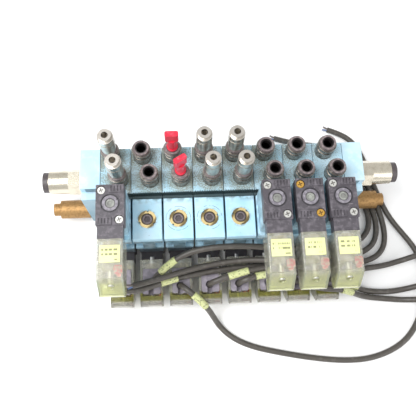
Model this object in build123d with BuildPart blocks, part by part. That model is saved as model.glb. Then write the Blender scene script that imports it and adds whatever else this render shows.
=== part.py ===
from build123d import *
import os
from math import pi, radians, tan

# A bank of eight pilot-operated solenoid valves on a stacked base.
# X runs along the bank, Y from the coils to the back, Z up; the origin is the
# middle of the bank's underside. All sizes are in millimetres.

# ---------------------------------------------------------------- the bank
station_count = 8
station_pitch = 20.0
double_stations = (1, 6, 7, 8)      # a solenoid above and below the valve
single_stations = (2, 3, 4, 5)      # a solenoid below, a spring cap above
half_depth = 49.5                   # back of the base, and front of the coils
station_gap = 0.4                   # between neighbouring bases, for the ring seals
edge = 0.4                          # broken edge on machined blocks

# ---------------------------------------------------------------- the base
base_height = 57.5
base_depth = 32.5
base_step_depth = 1.4               # a base's top is narrower than its foot by this
plate_step_depth = 5.5              # and an end plate's by this
step_drop = 7.0
end_plate_length = 13.3
rib_pitch = 1.54
rib_groove = 0.8
rib_depth = 0.6
supply_radius = 5.0
supply_y = 33.5
supply_z = 40.0
exhaust_radius = 4.5
end_thread_radius = supply_radius + 1.0
silencer_thread_radius = exhaust_radius + 0.5
exhaust_y = 23.0
exhaust_z = 11.0
tie_rod_radius = 2.0
tie_rod_places = (
    (half_depth - 5.0, 8.0),
    (half_depth - 13.75, base_height - 5.5),
    (half_depth - 17.5, 22.0),
)
tie_head_radius = 3.6
tie_head_length = 4.0
tie_head_sink = 0.5                 # heads lie this far below the plate's face
tie_nut_length = 3.2
mount_hole_radius = 2.1             # tapped from below, M5
mount_hole_inset = 6.7
mount_hole_y = 36.0
mount_hole_depth = 10.0
seal_width = 1.2
seal_depth = 0.8                    # sunk in one base's face

# ---------------------------------------------------------------- port fittings
port_offset = 2.36                  # rows stand this far either side of the station
front_port_y = 27.7
back_port_y = 43.8
tube_radius = 3.05                  # seat for a 6 mm tube
port_thread_radius = tube_radius + 1.35
port_thread_depth = 6.5
fitting_radius = tube_radius + 2.95
fitting_height = 12.4
fitting_waist = tube_radius + 2.55
fitting_foot = 7.7                  # height of the full-width foot
fitting_lip = 2.2                   # and of the lip round the collar
fitting_lip_drop = 2.6
tube_stop = 3.2                     # the tube's end stands this far above the base
collar_radius = tube_radius + 2.05
collar_height = 2.4
collar_skirt = 3.0
collar_wall = 1.1
collar_lead_in = 0.5                # widened mouth of the collar's bore
reducer_stations = (1, 4, 5)
plug_station = 3
reducer_rise = 21.5                 # reducer above the collar
reducer_heights = (0.3, 6.6, 7.6, 13.4, 14.2, 18.9, reducer_rise)
reducer_swells = (1.55, 1.15, 2.05, 1.65, 1.95, 0.95)    # each band's radius beyond the tube's
reducer_seat = 14.0
reducer_way = 1.2
reducer_tube_radius = 2.05          # seat for a 4 mm tube
plug_rise = 20.5
plug_handle_width = 8.4
plug_handle_thickness = 3.6
plug_handle_height = 8.5
plug_flange = tube_radius + 0.55
plug_flange_height = 1.6
plug_neck = tube_radius - 0.15
plug_stand = 0.3                    # flange above the collar
plug_neck_bite = 0.8                # neck inside the handle
plug_handle_round = 1.2
front_plug_turn = 30.0

# ---------------------------------------------------------------- valves
valve_width = station_pitch - 1.2
valve_depth = 27.0
valve_gasket = 2.1
gasket_side_inset = 1.0
gasket_end_inset = 0.5
valve_bottom = 29.0
valve_top = 50.0
cap_thickness = 6.0
spool_y = 1.2
spool_radius = 4.0
spool_stem_radius = 0.55 * spool_radius
spool_length = 17.0
spool_land = 3.5
spool_travel = 3.0
spool_rest_gap = 0.3
running_clearance = 0.04
seat_gap = 0.05                     # round a piece seated in another
head_gap = 0.15                     # round a screw head or a collar's skirt
end_gap = 0.3                       # past the end of a seated piece
slip_gap = 0.1                      # round a screw or a plug, and under a collar
thread_end_gap = 0.5                # past the end of a thread
hex_key_tie = 1.7                   # socket sizes are corner radii
hex_key_valve = 1.4
hex_key_depth = 2.0
valve_key_depth = 1.5
passage_inset = 3.0                 # top passage below the valve's top
passage_pitch = 5.0
passage_radius = 1.6
recess_width = 5.4
recess_depth = 7.5
recess_bottom = 31.0
recess_top = 45.6
valve_screw_x = valve_width / 2 - 2.8
valve_screw_z = 38.0
valve_screw_radius = 1.5
valve_head_radius = 2.5
valve_head_length = 3.0
valve_screw_bite = 8.0
chamber_radius = spool_radius + 0.3
chamber_depth = 3.7                 # leaves a web under the ring's seat
spring_wire = 0.35
spring_radius = 0.7 * spool_radius
spring_turns = 3
ring_radius = 5.75
ring_bore = 3.6
ring_seat = 1.7                     # thickness of the brass ring's flange in the cap
hex_socket = 4.0
hex_socket_depth = 0.9
ring_proud = 0.15                   # ring above the cap
ring_nicks = 3
ring_nick_radius = 0.8
ring_nick_inset = 0.2
ring_first_nick = 35.0              # angles, each station's ring turned further
ring_nick_turn = 25.0
cap_plug_drop = 0.3                 # plug below the cap's face

# ---------------------------------------------------------------- operators
operator_height = 85.1              # top of the upper operators
adaptor_width = station_pitch - 3.0
adaptor_depth = 25.3
adaptor_back = 15.7
block_thickness = 9.1
pad_height = 0.6
neck_half_width = adaptor_width / 2 - 0.9
neck_length = 8.0
neck_drop = 1.0
override_y = 4.0
override_ring_radius = 5.85
override_ring_thickness = 2.2
override_radius = 2.7
override_flange = 3.1
override_travel = 1.5
override_recess = 0.5
override_well = 1.6                 # room under the flange beyond its travel
override_flange_thickness = 1.1
override_shaft_bite = 0.9           # shaft inside the flange
override_dimple_radius = 1.5
override_dimple_depth = 0.6
override_groove_outer = override_ring_radius - 0.5
override_groove_inner = override_ring_radius - 1.0
override_groove_depth = 0.6
override_notch_at = override_ring_radius - 0.9
override_notch_turn = 28.0
override_notch_length = 1.5
override_notch_width = 1.0
operator_screw_x = adaptor_width / 2 - 3.1
operator_screw_y = 9.2
operator_head_radius = 2.6
operator_head_length = 1.7
operator_screw_radius = 1.3
operator_screw_length = 12.0
operator_head_drop = 0.6            # heads lie this far below the face
operator_head_edge = 0.35
cross_slot_length = 2.8
cross_slot_width = 0.7
cross_slot_depth = 0.8
cross_slot_turn = 20.0
pad_length = 5.4
pad_bar_pitch = 1.9
pad_bar_width = 0.8
pad_bar_length = 3.2
pad_bars = 4
pad_margin = 2.2                    # pad clear of the screw beside it
pad_edge_gap = 0.6
cover_half_width = adaptor_width / 2 - 0.75
cover_wall = 1.2
cover_round = 1.0
cover_top = operator_height - 0.4
cover_bottom = cover_top - 19.7
cover_top_edge = 8.0 - half_depth
nose_top_back = 2.0                 # the nose's corners, behind the front and over the bottom
nose_top_rise = 9.0
nose_face_top = 6.0
nose_face_bottom = 3.0
nose_foot_back = 2.5
nose_hole_start = cover_top_edge + 1.0
nose_hole_length = 8.0
cover_screw_gap = 0.2
coil_axis_z = operator_height - 6.9
coil_radius = cover_top - cover_wall - coil_axis_z - 0.2
coil_length = 17.0
cover_screw_length = 8.2
cover_slot_depth = 1.0
tube_outer = 2.6
tube_inner = 1.9
armature_radius = 1.85
armature_length = 9.0
armature_inset = 2.0                # armature starts inside the neck
armature_room = 6.0                 # tube's bore beyond the armature's length
coil_start = -19.0
plug_top = cover_bottom - 0.4       # the connector's outer face, upper operators
connector_height = 6.2
connector_half_width = cover_half_width - 1.75
connector_back = -24.3
connector_front = cover_top_edge
connector_edge = 0.8
opening_gap = 0.2
opening_front_gap = 1.4
cable_exit_x = -0.5
cable_exit_y = connector_front + 5.0
cable_notch_radius = 2.6
cable_notch_depth = 4.3
cable_notch_width = 3.4
lamp_radius = 1.5
lamp_height = 2.2
lamp_x = cover_half_width - 2.75
lamp_y = cover_top_edge + 3.0
pole_in_block = 4.0                 # the tube's length inside the neck
pole_past_coil = 0.4
cover_screw_radius = 1.9
cover_slot_width = 0.8
cable_radius = 2.0
corner_share = 0.45                 # of the shorter run that a cable's bend may take

# ---------------------------------------------------------------- end fittings
end_tube_radius = 5.05              # seat for a 10 mm tube
end_washer = 1.6
end_hex_length = 8.0
end_hex_across = 15.6
end_body_radius = 7.8
end_body_length = 13.0
end_collar_radius = 6.9
end_collar_length = 4.0
end_thread_depth = 9.0
end_washer_radius = end_body_radius - 0.6
end_seat_depth = end_body_length + 2.0
end_way_radius = end_tube_radius - 1.0
silencer_radius = 6.5
silencer_length = 20.7
silencer_tip_radius = 4.5
silencer_tip_length = 5.0
silencer_thread_depth = 8.0
silencer_bore = exhaust_radius - 1.2
silencer_end_wall = 2.0

# ---------------------------------------------------------------- worked out
stations = range(1, station_count + 1)
base_back = half_depth
base_front = base_back - base_depth
top_front = base_front + base_step_depth
plate_top_front = base_front + plate_step_depth
step_z = base_height - step_drop
station_length = station_pitch - station_gap
bank_half = station_count * station_pitch / 2
end_face = bank_half + end_plate_length
valve_back = base_front - valve_gasket
valve_front = valve_back - valve_depth
cap_top = valve_top + cap_thickness
valve_middle = (valve_front + valve_back) / 2
adaptor_front = adaptor_back - adaptor_depth
adaptor_middle = (adaptor_front + adaptor_back) / 2
block_bottom = operator_height - block_thickness
lower_adaptor_bottom = block_thickness
neck_front = adaptor_front - neck_length
cover_back = neck_front - 0.2
cover_front = -half_depth
opening_back = connector_back + opening_gap
opening_front = connector_front - opening_front_gap
spool_bottom = valve_bottom + spool_rest_gap
collar_bottom = base_height + fitting_height
collar_top = collar_bottom + collar_height
bore_radius = spool_radius + running_clearance
gallery_places = (
    (supply_y, supply_z, supply_radius),
    (exhaust_y, exhaust_z, exhaust_radius),
)


def station_x(number):
    """Middle of a station along the bank."""
    return (number - (station_count + 1) / 2) * station_pitch


def finish(part, name):
    """Name a finished piece and write it."""
    part.label = name
    export_step(part, f"parts/{name}.step")


def port_places(station):
    """Both tube ports of a station, front then back, on the base's top."""
    front = (station_x(station) + port_offset, front_port_y)
    back = (station_x(station) - port_offset, back_port_y)
    return (front, back)


def passage_places():
    """The four air passages through a valve's back face: offset in X, and height."""
    offsets = (port_offset, 0, port_offset, -port_offset)
    top = valve_top - passage_inset
    return [(offset, top - count * passage_pitch) for count, offset in enumerate(offsets)]


def make_base_outline(front):
    """Side outline of a base or end plate: a foot, and a top set back by a step to front."""
    with BuildSketch() as outline:
        with BuildLine():
            Polyline(
                (base_back, 0),
                (base_back, base_height),
                (front, base_height),
                (front, step_z),
                (base_front, step_z),
                (base_front, 0),
                close=True,
            )
        make_face()
        # supply and exhaust galleries and the tie rods run along the whole bank
        with Locations((supply_y, supply_z)):
            Circle(supply_radius, mode=Mode.SUBTRACT)
        with Locations((exhaust_y, exhaust_z)):
            Circle(exhaust_radius, mode=Mode.SUBTRACT)
        with Locations(*tie_rod_places):
            Circle(tie_rod_radius + running_clearance, mode=Mode.SUBTRACT)
    return outline.sketch


def make_one_base():
    """One station's base, about X = 0, with its ports and passages."""
    outline = make_base_outline(top_front)
    half = station_length / 2
    front_port_z, supply_feed_z, exhaust_feed_z, back_port_z = [z for _, z in passage_places()]
    with BuildPart() as base:
        with BuildSketch(Plane.YZ.offset(-half)):
            add(outline)
        extrude(amount=station_length)
        # ring seal grooves round both galleries, in the right-hand face
        with BuildSketch(Plane.YZ.offset(half)):
            for y, z, radius in gallery_places:
                with Locations((y, z)):
                    Circle(radius + seal_width)
        extrude(amount=-seal_depth, mode=Mode.SUBTRACT)
        # tube ports: a threaded mouth, then a narrow way down
        with BuildSketch(Plane.XY.offset(base_height)):
            with Locations((port_offset, front_port_y), (-port_offset, back_port_y)):
                Circle(port_thread_radius)
        extrude(amount=-port_thread_depth, mode=Mode.SUBTRACT)
        with BuildSketch(Plane.XY.offset(base_height)):
            with Locations((port_offset, front_port_y)):
                Circle(passage_radius)
        extrude(amount=front_port_z - base_height, mode=Mode.SUBTRACT)
        with BuildSketch(Plane.XY.offset(base_height)):
            with Locations((-port_offset, back_port_y)):
                Circle(passage_radius)
        extrude(amount=back_port_z - base_height, mode=Mode.SUBTRACT)
        # level ways from the valve's face to the ports and galleries
        for (x, z), depth in zip(passage_places(), (front_port_y, supply_y, exhaust_y, back_port_y)):
            with BuildSketch(Plane.XZ.offset(-base_front)):
                with Locations((x, z)):
                    Circle(passage_radius)
            extrude(amount=base_front - depth, mode=Mode.SUBTRACT)
        with BuildSketch(Plane.XY.offset(exhaust_z)):
            with Locations((port_offset, exhaust_y)):
                Circle(passage_radius)
        extrude(amount=exhaust_feed_z - exhaust_z, mode=Mode.SUBTRACT)
        # holes for the screws that hold the valve
        with BuildSketch(Plane.XZ.offset(-base_front)):
            with Locations((-valve_screw_x, valve_screw_z), (valve_screw_x, valve_screw_z)):
                Circle(valve_screw_radius)
        extrude(amount=-valve_screw_bite, mode=Mode.SUBTRACT)
        # fine upright ribs on the step under the top edge
        groove_count = int((station_length - 2 * edge) / rib_pitch)
        with BuildSketch(Plane.XY.offset(step_z)):
            with Locations((0, top_front)):
                with GridLocations(rib_pitch, 0, groove_count, 1):
                    Rectangle(rib_groove, 2 * rib_depth)
        extrude(amount=step_drop, mode=Mode.SUBTRACT)
    return base.part


def make_station_bases():
    with BuildPart() as station_bases:
        with Locations(*[(station_x(number), 0, 0) for number in stations]):
            add(make_one_base())
    return station_bases.part


def make_end_plate(side):
    """End plate of the base, side -1 at the left and +1 at the right."""
    outline = make_base_outline(plate_top_front)
    inner = side * (bank_half + station_gap / 2)
    outer = side * end_face
    thickness = outer - inner
    with BuildPart() as end_plate:
        with BuildSketch(Plane.YZ.offset(inner)):
            add(outline)
        extrude(amount=thickness)
        outer_edges = end_plate.faces().sort_by(Axis.X)[-1 if side > 0 else 0].edges()
        chamfer(outer_edges, edge)
        # threads for the supply fitting and the silencer
        with BuildSketch(Plane.YZ.offset(outer)):
            with Locations((supply_y, supply_z)):
                Circle(end_thread_radius)
            with Locations((exhaust_y, exhaust_z)):
                Circle(silencer_thread_radius)
        extrude(amount=-side * end_thread_depth, mode=Mode.SUBTRACT)
        # sunk seats for the tie rods' heads and nuts
        with BuildSketch(Plane.YZ.offset(outer)):
            with Locations(*tie_rod_places):
                Circle(tie_head_radius + end_gap)
        extrude(amount=-side * (tie_head_length + tie_head_sink), mode=Mode.SUBTRACT)
        # a tapped fixing hole in the underside
        with BuildSketch(Plane.XY):
            with Locations((side * (end_face - mount_hole_inset), mount_hole_y)):
                Circle(mount_hole_radius)
        extrude(amount=mount_hole_depth, mode=Mode.SUBTRACT)
    return end_plate.part


def make_gaskets():
    """Square ring seals between the bases, and a face gasket behind each valve."""
    seam_xs = [station_x(number) + station_length / 2 for number in stations]
    with BuildPart() as gaskets:
        for seam in seam_xs:
            for y, z, radius in gallery_places:
                with BuildSketch(Plane.YZ.offset(seam - seal_depth)):
                    with Locations((y, z)):
                        Circle(radius + seal_width)
                        Circle(radius, mode=Mode.SUBTRACT)
                extrude(amount=seal_depth + station_gap)
        for number in stations:
            with BuildSketch(Plane.XZ.offset(-base_front)):
                middle = (valve_bottom + valve_top) / 2
                with Locations((station_x(number), middle)):
                    Rectangle(
                        valve_width - 2 * gasket_side_inset,
                        valve_top - valve_bottom - 2 * gasket_end_inset,
                    )
                with Locations(*[(station_x(number) + x, z) for x, z in passage_places()]):
                    Circle(passage_radius, mode=Mode.SUBTRACT)
                with Locations(*[(station_x(number) + s * valve_screw_x, valve_screw_z) for s in (-1, 1)]):
                    Circle(valve_screw_radius + slip_gap, mode=Mode.SUBTRACT)
            extrude(amount=valve_gasket)
    return gaskets.part


def make_tie_rods():
    """Long socket screws through the whole bank, with a nut at the right."""
    seat = end_face - tie_head_length - tie_head_sink
    with BuildPart() as tie_rods:
        for y, z in tie_rod_places:
            with BuildSketch(Plane.YZ.offset(-seat)):
                with Locations((y, z)):
                    Circle(tie_rod_radius)
            extrude(amount=2 * seat)
            with BuildSketch(Plane.YZ.offset(-seat)):
                with Locations((y, z)):
                    Circle(tie_head_radius)
            extrude(amount=-tie_head_length)
            with BuildSketch(Plane.YZ.offset(-seat - tie_head_length)):
                with Locations((y, z)):
                    RegularPolygon(hex_key_tie, 6)
            extrude(amount=hex_key_depth, mode=Mode.SUBTRACT)
            with BuildSketch(Plane.YZ.offset(seat)):
                with Locations((y, z)):
                    RegularPolygon(tie_head_radius, 6)
            extrude(amount=tie_nut_length)
    return tie_rods.part


def make_one_valve():
    """One valve body about X = 0: spool bore, four passages and two screw recesses."""
    with BuildPart() as valve:
        with BuildSketch(Plane.XY.offset(valve_bottom)):
            with Locations((0, valve_middle)):
                Rectangle(valve_width, valve_depth)
        extrude(amount=valve_top - valve_bottom)
        chamfer(valve.edges().filter_by(Axis.Z), edge)
        with BuildSketch(Plane.XY.offset(valve_bottom)):
            with Locations((0, spool_y)):
                Circle(bore_radius)
        extrude(amount=valve_top - valve_bottom, mode=Mode.SUBTRACT)
        with BuildSketch(Plane.XZ.offset(-valve_back)):
            with Locations(*passage_places()):
                Circle(passage_radius)
        extrude(amount=valve_back - spool_y, mode=Mode.SUBTRACT)
        with BuildSketch(Plane.XY.offset(recess_bottom)):
            for side in (-1, 1):
                with Locations((side * (valve_width - recess_width) / 2, valve_front + recess_depth / 2)):
                    Rectangle(recess_width, recess_depth)
        extrude(amount=recess_top - recess_bottom, mode=Mode.SUBTRACT)
        with BuildSketch(Plane.XZ.offset(-valve_back)):
            with Locations((-valve_screw_x, valve_screw_z), (valve_screw_x, valve_screw_z)):
                Circle(valve_screw_radius + slip_gap)
        extrude(amount=valve_depth, mode=Mode.SUBTRACT)
    return valve.part


def make_valve_bodies():
    with BuildPart() as valve_bodies:
        with Locations(*[(station_x(number), 0, 0) for number in stations]):
            add(make_one_valve())
    return valve_bodies.part


def make_valve_screws():
    """Two socket screws for each valve, in its front recesses."""
    seat = valve_front + recess_depth
    tip = base_front + valve_screw_bite - thread_end_gap
    with BuildPart() as valve_screws:
        for number in stations:
            for side in (-1, 1):
                place = (station_x(number) + side * valve_screw_x, valve_screw_z)
                with BuildSketch(Plane.XZ.offset(-seat)):
                    with Locations(place):
                        Circle(valve_screw_radius)
                extrude(amount=seat - tip)
                with BuildSketch(Plane.XZ.offset(-seat)):
                    with Locations(place):
                        Circle(valve_head_radius)
                extrude(amount=valve_head_length)
                with BuildSketch(Plane.XZ.offset(-seat + valve_head_length)):
                    with Locations(place):
                        RegularPolygon(hex_key_valve, 6)
                extrude(amount=-valve_key_depth, mode=Mode.SUBTRACT)
    return valve_screws.part


def make_spool(number):
    """A spool with three lands, which slides up in its valve."""
    with BuildPart() as spool:
        with BuildSketch(Plane.XY.offset(spool_bottom)):
            with Locations((station_x(number), spool_y)):
                Circle(spool_stem_radius)
        extrude(amount=spool_length)
        land_step = (spool_length - spool_land) / 2
        for count in range(3):
            with BuildSketch(Plane.XY.offset(spool_bottom + count * land_step)):
                with Locations((station_x(number), spool_y)):
                    Circle(spool_radius)
            extrude(amount=spool_land)
    return spool.part


def make_return_spring(number):
    """Coil spring between the spool and the cap's chamber."""
    bottom = spool_bottom + spool_length + spring_wire
    top = valve_top + chamber_depth - spring_wire
    with BuildPart() as spring:
        with BuildLine() as path:
            Helix((top - bottom) / spring_turns, top - bottom, spring_radius,
                  center=(station_x(number), spool_y, bottom))
        with BuildSketch(Plane(origin=path.line @ 0, z_dir=path.line % 0)):
            Circle(spring_wire)
        sweep(is_frenet=True)
    return spring.part


def make_end_caps():
    """Caps over the single valves, each with a chamber under a brass-ringed plug."""
    with BuildPart() as end_caps:
        for number in single_stations:
            x = station_x(number)
            with BuildSketch(Plane.XY.offset(valve_top)):
                with Locations((x, valve_middle)):
                    Rectangle(valve_width, valve_depth)
            extrude(amount=cap_thickness)
        chamfer(end_caps.faces().group_by(Axis.Z)[-1].edges(), edge)
        for number in single_stations:
            x = station_x(number)
            with BuildSketch(Plane.XY.offset(valve_top)):
                with Locations((x, spool_y)):
                    Circle(chamber_radius)
            extrude(amount=chamber_depth, mode=Mode.SUBTRACT)
            with BuildSketch(Plane.XY.offset(cap_top)):
                with Locations((x, spool_y)):
                    Circle(ring_radius)
            extrude(amount=-ring_seat, mode=Mode.SUBTRACT)
    return end_caps.part


def make_cap_rings():
    """Brass rings let into the caps, nicked at three places for a spanner."""
    with BuildPart() as cap_rings:
        for number in single_stations:
            turned = ring_first_nick + ring_nick_turn * number
            with BuildSketch(Plane.XY.offset(cap_top - ring_seat)):
                with Locations((station_x(number), spool_y)):
                    Circle(ring_radius)
                    Circle(ring_bore, mode=Mode.SUBTRACT)
                    with PolarLocations(ring_radius - ring_nick_inset, ring_nicks, turned):
                        Circle(ring_nick_radius, mode=Mode.SUBTRACT)
            extrude(amount=ring_seat + ring_proud)
    return cap_rings.part


def make_cap_plugs():
    """Hexagon-socket plugs inside the brass rings."""
    with BuildPart() as cap_plugs:
        for number in single_stations:
            with BuildSketch(Plane.XY.offset(cap_top - ring_seat)):
                with Locations((station_x(number), spool_y)):
                    Circle(ring_bore - slip_gap)
            extrude(amount=ring_seat - cap_plug_drop)
            with BuildSketch(Plane.XY.offset(cap_top - cap_plug_drop)):
                with Locations((station_x(number), spool_y)):
                    RegularPolygon(hex_socket / 2, 6, major_radius=False)
            extrude(amount=-hex_socket_depth, mode=Mode.SUBTRACT)
    return cap_plugs.part


def make_pilot_adaptors():
    """Blocks that carry pilot air between a valve and its operators, above and below."""
    with BuildPart() as pilot_adaptors:
        for number in double_stations:
            x = station_x(number)
            with BuildSketch(Plane.XY.offset(valve_top)):
                with Locations((x, valve_middle)):
                    Rectangle(valve_width, valve_depth)
            extrude(amount=cap_thickness)
            with BuildSketch(Plane.XY.offset(cap_top)):
                with Locations((x, adaptor_middle)):
                    Rectangle(adaptor_width, adaptor_depth)
            extrude(amount=block_bottom - cap_top)
        for number in stations:
            with BuildSketch(Plane.XY.offset(lower_adaptor_bottom)):
                with Locations((station_x(number), adaptor_middle)):
                    Rectangle(adaptor_width, adaptor_depth)
            extrude(amount=valve_bottom - lower_adaptor_bottom)
        chamfer(pilot_adaptors.edges().filter_by(Axis.Z), edge)
        # chambers at the spool's ends, a narrow pilot way, and screw holes
        for number in double_stations:
            x = station_x(number)
            with BuildSketch(Plane.XY.offset(valve_top)):
                with Locations((x, spool_y)):
                    Circle(chamber_radius)
            extrude(amount=chamber_depth, mode=Mode.SUBTRACT)
            with BuildSketch(Plane.XY.offset(valve_top)):
                with Locations((x, spool_y)):
                    Circle(passage_radius)
            extrude(amount=block_bottom - valve_top, mode=Mode.SUBTRACT)
            with BuildSketch(Plane.XY.offset(block_bottom)):
                with Locations(*operator_screw_places(x)):
                    Circle(operator_screw_radius)
            extrude(amount=-operator_screw_length, mode=Mode.SUBTRACT)
        for number in stations:
            x = station_x(number)
            with BuildSketch(Plane.XY.offset(lower_adaptor_bottom)):
                with Locations((x, spool_y)):
                    Circle(passage_radius)
            extrude(amount=valve_bottom - lower_adaptor_bottom, mode=Mode.SUBTRACT)
            with BuildSketch(Plane.XY.offset(lower_adaptor_bottom)):
                with Locations(*operator_screw_places(x)):
                    Circle(operator_screw_radius)
            extrude(amount=operator_screw_length, mode=Mode.SUBTRACT)
    return pilot_adaptors.part


def operator_screw_places(x):
    """A screw at the back left and one at the front right."""
    return (
        (x - operator_screw_x, adaptor_middle + operator_screw_y),
        (x + operator_screw_x, adaptor_middle - operator_screw_y),
    )


# Each operator piece is made once, as it stands above a valve at X = 0.
# The lower operators are the same pieces the other way up.
def place_operators(piece):
    """Copy an upper piece above the double valves and, turned over, below all valves."""
    turned = mirror(piece, about=Plane.XY.offset(operator_height / 2), mode=Mode.PRIVATE)
    with BuildPart() as group:
        with Locations(*[(station_x(number), 0, 0) for number in double_stations]):
            add(piece)
        with Locations(*[(station_x(number), 0, 0) for number in stations]):
            add(turned)
    return group.part


def make_operator_block():
    """Pilot block: a raised pad either side of the override, two sunk screws, a neck."""
    face = operator_height - pad_height
    with BuildPart() as block:
        with BuildSketch(Plane.XY.offset(block_bottom)):
            with Locations((0, adaptor_middle)):
                Rectangle(adaptor_width, adaptor_depth)
        extrude(amount=face - block_bottom)
        chamfer(block.edges().filter_by(Axis.Z), edge)
        with BuildSketch(Plane.XY.offset(block_bottom)):
            with Locations((0, (adaptor_front + neck_front) / 2)):
                Rectangle(2 * neck_half_width, neck_length)
        extrude(amount=block_thickness - neck_drop)
        # raised pads beside the screws, with plain bars in place of lettering
        pad_width = adaptor_width - 2 * operator_head_radius - pad_margin
        for side in (-1, 1):
            pad_x = -side * (adaptor_width - pad_width) / 2
            pad_y = adaptor_middle + -side * (adaptor_depth - pad_length) / 2
            with BuildSketch(Plane.XY.offset(face)):
                with Locations((pad_x, pad_y)):
                    Rectangle(pad_width - pad_edge_gap, pad_length - pad_edge_gap)
                    with GridLocations(pad_bar_pitch, 0, pad_bars, 1):
                        Rectangle(pad_bar_width, pad_bar_length, mode=Mode.SUBTRACT)
            extrude(amount=pad_height)
        # seats: override ring and button, screw heads and shanks, armature tube
        with BuildSketch(Plane.XY.offset(face)):
            with Locations((0, override_y)):
                Circle(override_ring_radius + seat_gap)
        extrude(amount=-override_ring_thickness, mode=Mode.SUBTRACT)
        with BuildSketch(Plane.XY.offset(face - override_ring_thickness)):
            with Locations((0, override_y)):
                Circle(override_flange + end_gap)
        extrude(amount=-(override_travel + override_well), mode=Mode.SUBTRACT)
        with BuildSketch(Plane.XY.offset(face)):
            with Locations(*operator_screw_places(0)):
                Circle(operator_head_radius + head_gap)
        extrude(amount=-(operator_head_length + operator_head_drop), mode=Mode.SUBTRACT)
        with BuildSketch(Plane.XY.offset(face)):
            with Locations(*operator_screw_places(0)):
                Circle(operator_screw_radius)
        extrude(amount=-block_thickness, mode=Mode.SUBTRACT)
        with BuildSketch(Plane.XZ.offset(-neck_front)):
            with Locations((0, coil_axis_z)):
                Circle(tube_outer)
        extrude(amount=-pole_in_block, mode=Mode.SUBTRACT)
    return block.part


def make_operator_screw():
    """Cross-head screws of one operator."""
    seat = operator_height - pad_height - operator_head_length - operator_head_drop
    with BuildPart() as screws:
        with BuildSketch(Plane.XY.offset(seat)):
            with Locations(*operator_screw_places(0)):
                Circle(operator_screw_radius)
        extrude(amount=-operator_screw_length)
        with BuildSketch(Plane.XY.offset(seat)):
            with Locations(*operator_screw_places(0)):
                Circle(operator_head_radius)
        extrude(amount=operator_head_length)
        chamfer(screws.faces().group_by(Axis.Z)[-1].edges(), operator_head_edge)
        with BuildSketch(Plane.XY.offset(seat + operator_head_length)):
            with Locations(*operator_screw_places(0)):
                Rectangle(cross_slot_length, cross_slot_width, rotation=cross_slot_turn)
                Rectangle(cross_slot_width, cross_slot_length, rotation=cross_slot_turn)
        extrude(amount=-cross_slot_depth, mode=Mode.SUBTRACT)
    return screws.part


def make_override_ring():
    """Flush ring that holds the override button, with two spanner notches."""
    top = operator_height - pad_height
    with BuildPart() as ring:
        with BuildSketch(Plane.XY.offset(top)):
            with Locations((0, override_y)):
                Circle(override_ring_radius)
                Circle(override_radius + running_clearance, mode=Mode.SUBTRACT)
        extrude(amount=-override_ring_thickness)
        # a shallow groove inside the rim, and the notches
        with BuildSketch(Plane.XY.offset(top)):
            with Locations((0, override_y)):
                Circle(override_groove_outer)
                Circle(override_groove_inner, mode=Mode.SUBTRACT)
                with PolarLocations(override_notch_at, 2, override_notch_turn):
                    Rectangle(override_notch_length, override_notch_width)
        extrude(amount=-override_groove_depth, mode=Mode.SUBTRACT)
    return ring.part


def make_override_button(number, upper):
    """Push button of one operator's manual override, kept in by a flange."""
    ring_top = operator_height - pad_height
    top = ring_top - override_recess
    flange_top = ring_top - override_ring_thickness
    with BuildPart() as upright:
        with BuildSketch(Plane.XY.offset(top)):
            with Locations((0, override_y)):
                Circle(override_radius)
        extrude(amount=flange_top - top - override_shaft_bite)
        with BuildSketch(Plane.XY.offset(flange_top - seat_gap)):
            with Locations((0, override_y)):
                Circle(override_flange)
        extrude(amount=-override_flange_thickness)
        with BuildSketch(Plane.XY.offset(top)):
            with Locations((0, override_y)):
                Circle(override_dimple_radius)
        extrude(amount=-override_dimple_depth, mode=Mode.SUBTRACT)
    piece = upright.part
    if not upper:
        piece = mirror(piece, about=Plane.XY.offset(operator_height / 2), mode=Mode.PRIVATE)
    with BuildPart() as button:
        with Locations((station_x(number), 0, 0)):
            add(piece)
    return button.part


def make_solenoid_coil():
    """Moulded winding on the armature tube."""
    with BuildPart() as coil:
        with BuildSketch(Plane.XZ.offset(-coil_start)):
            with Locations((0, coil_axis_z)):
                Circle(coil_radius)
                Circle(tube_outer, mode=Mode.SUBTRACT)
        extrude(amount=coil_length)
    return coil.part


def make_pole_tube():
    """Steel tube from the block, closed by the fixed pole at the front."""
    start = neck_front + pole_in_block
    front = coil_start - coil_length - pole_past_coil
    with BuildPart() as tube:
        with BuildSketch(Plane.XZ.offset(-start)):
            with Locations((0, coil_axis_z)):
                Circle(tube_outer)
        extrude(amount=start - front)
        with BuildSketch(Plane.XZ.offset(-start)):
            with Locations((0, coil_axis_z)):
                Circle(tube_inner)
        extrude(amount=armature_length + armature_room, mode=Mode.SUBTRACT)
    return tube.part


def make_armature():
    """Plunger inside the tube."""
    with BuildPart() as armature:
        with BuildSketch(Plane.XZ.offset(-(neck_front + armature_inset))):
            with Locations((0, coil_axis_z)):
                Circle(armature_radius)
        extrude(amount=armature_length)
    return armature.part


def make_cover_outline(inset):
    """Side outline of the coil cover, a flat top and a slanted, rounded nose."""
    with BuildSketch() as outline:
        with BuildLine():
            Polyline(
                (cover_back, cover_bottom + inset),
                (cover_back, cover_top - inset),
                (cover_top_edge + inset / 2, cover_top - inset),
                (cover_front + nose_top_back + inset, cover_bottom + nose_top_rise),
                (cover_front + inset, cover_bottom + nose_face_top),
                (cover_front + inset, cover_bottom + nose_face_bottom),
                (cover_front + nose_foot_back + inset, cover_bottom + inset),
                close=True,
            )
        make_face()
    return outline.sketch


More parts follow.
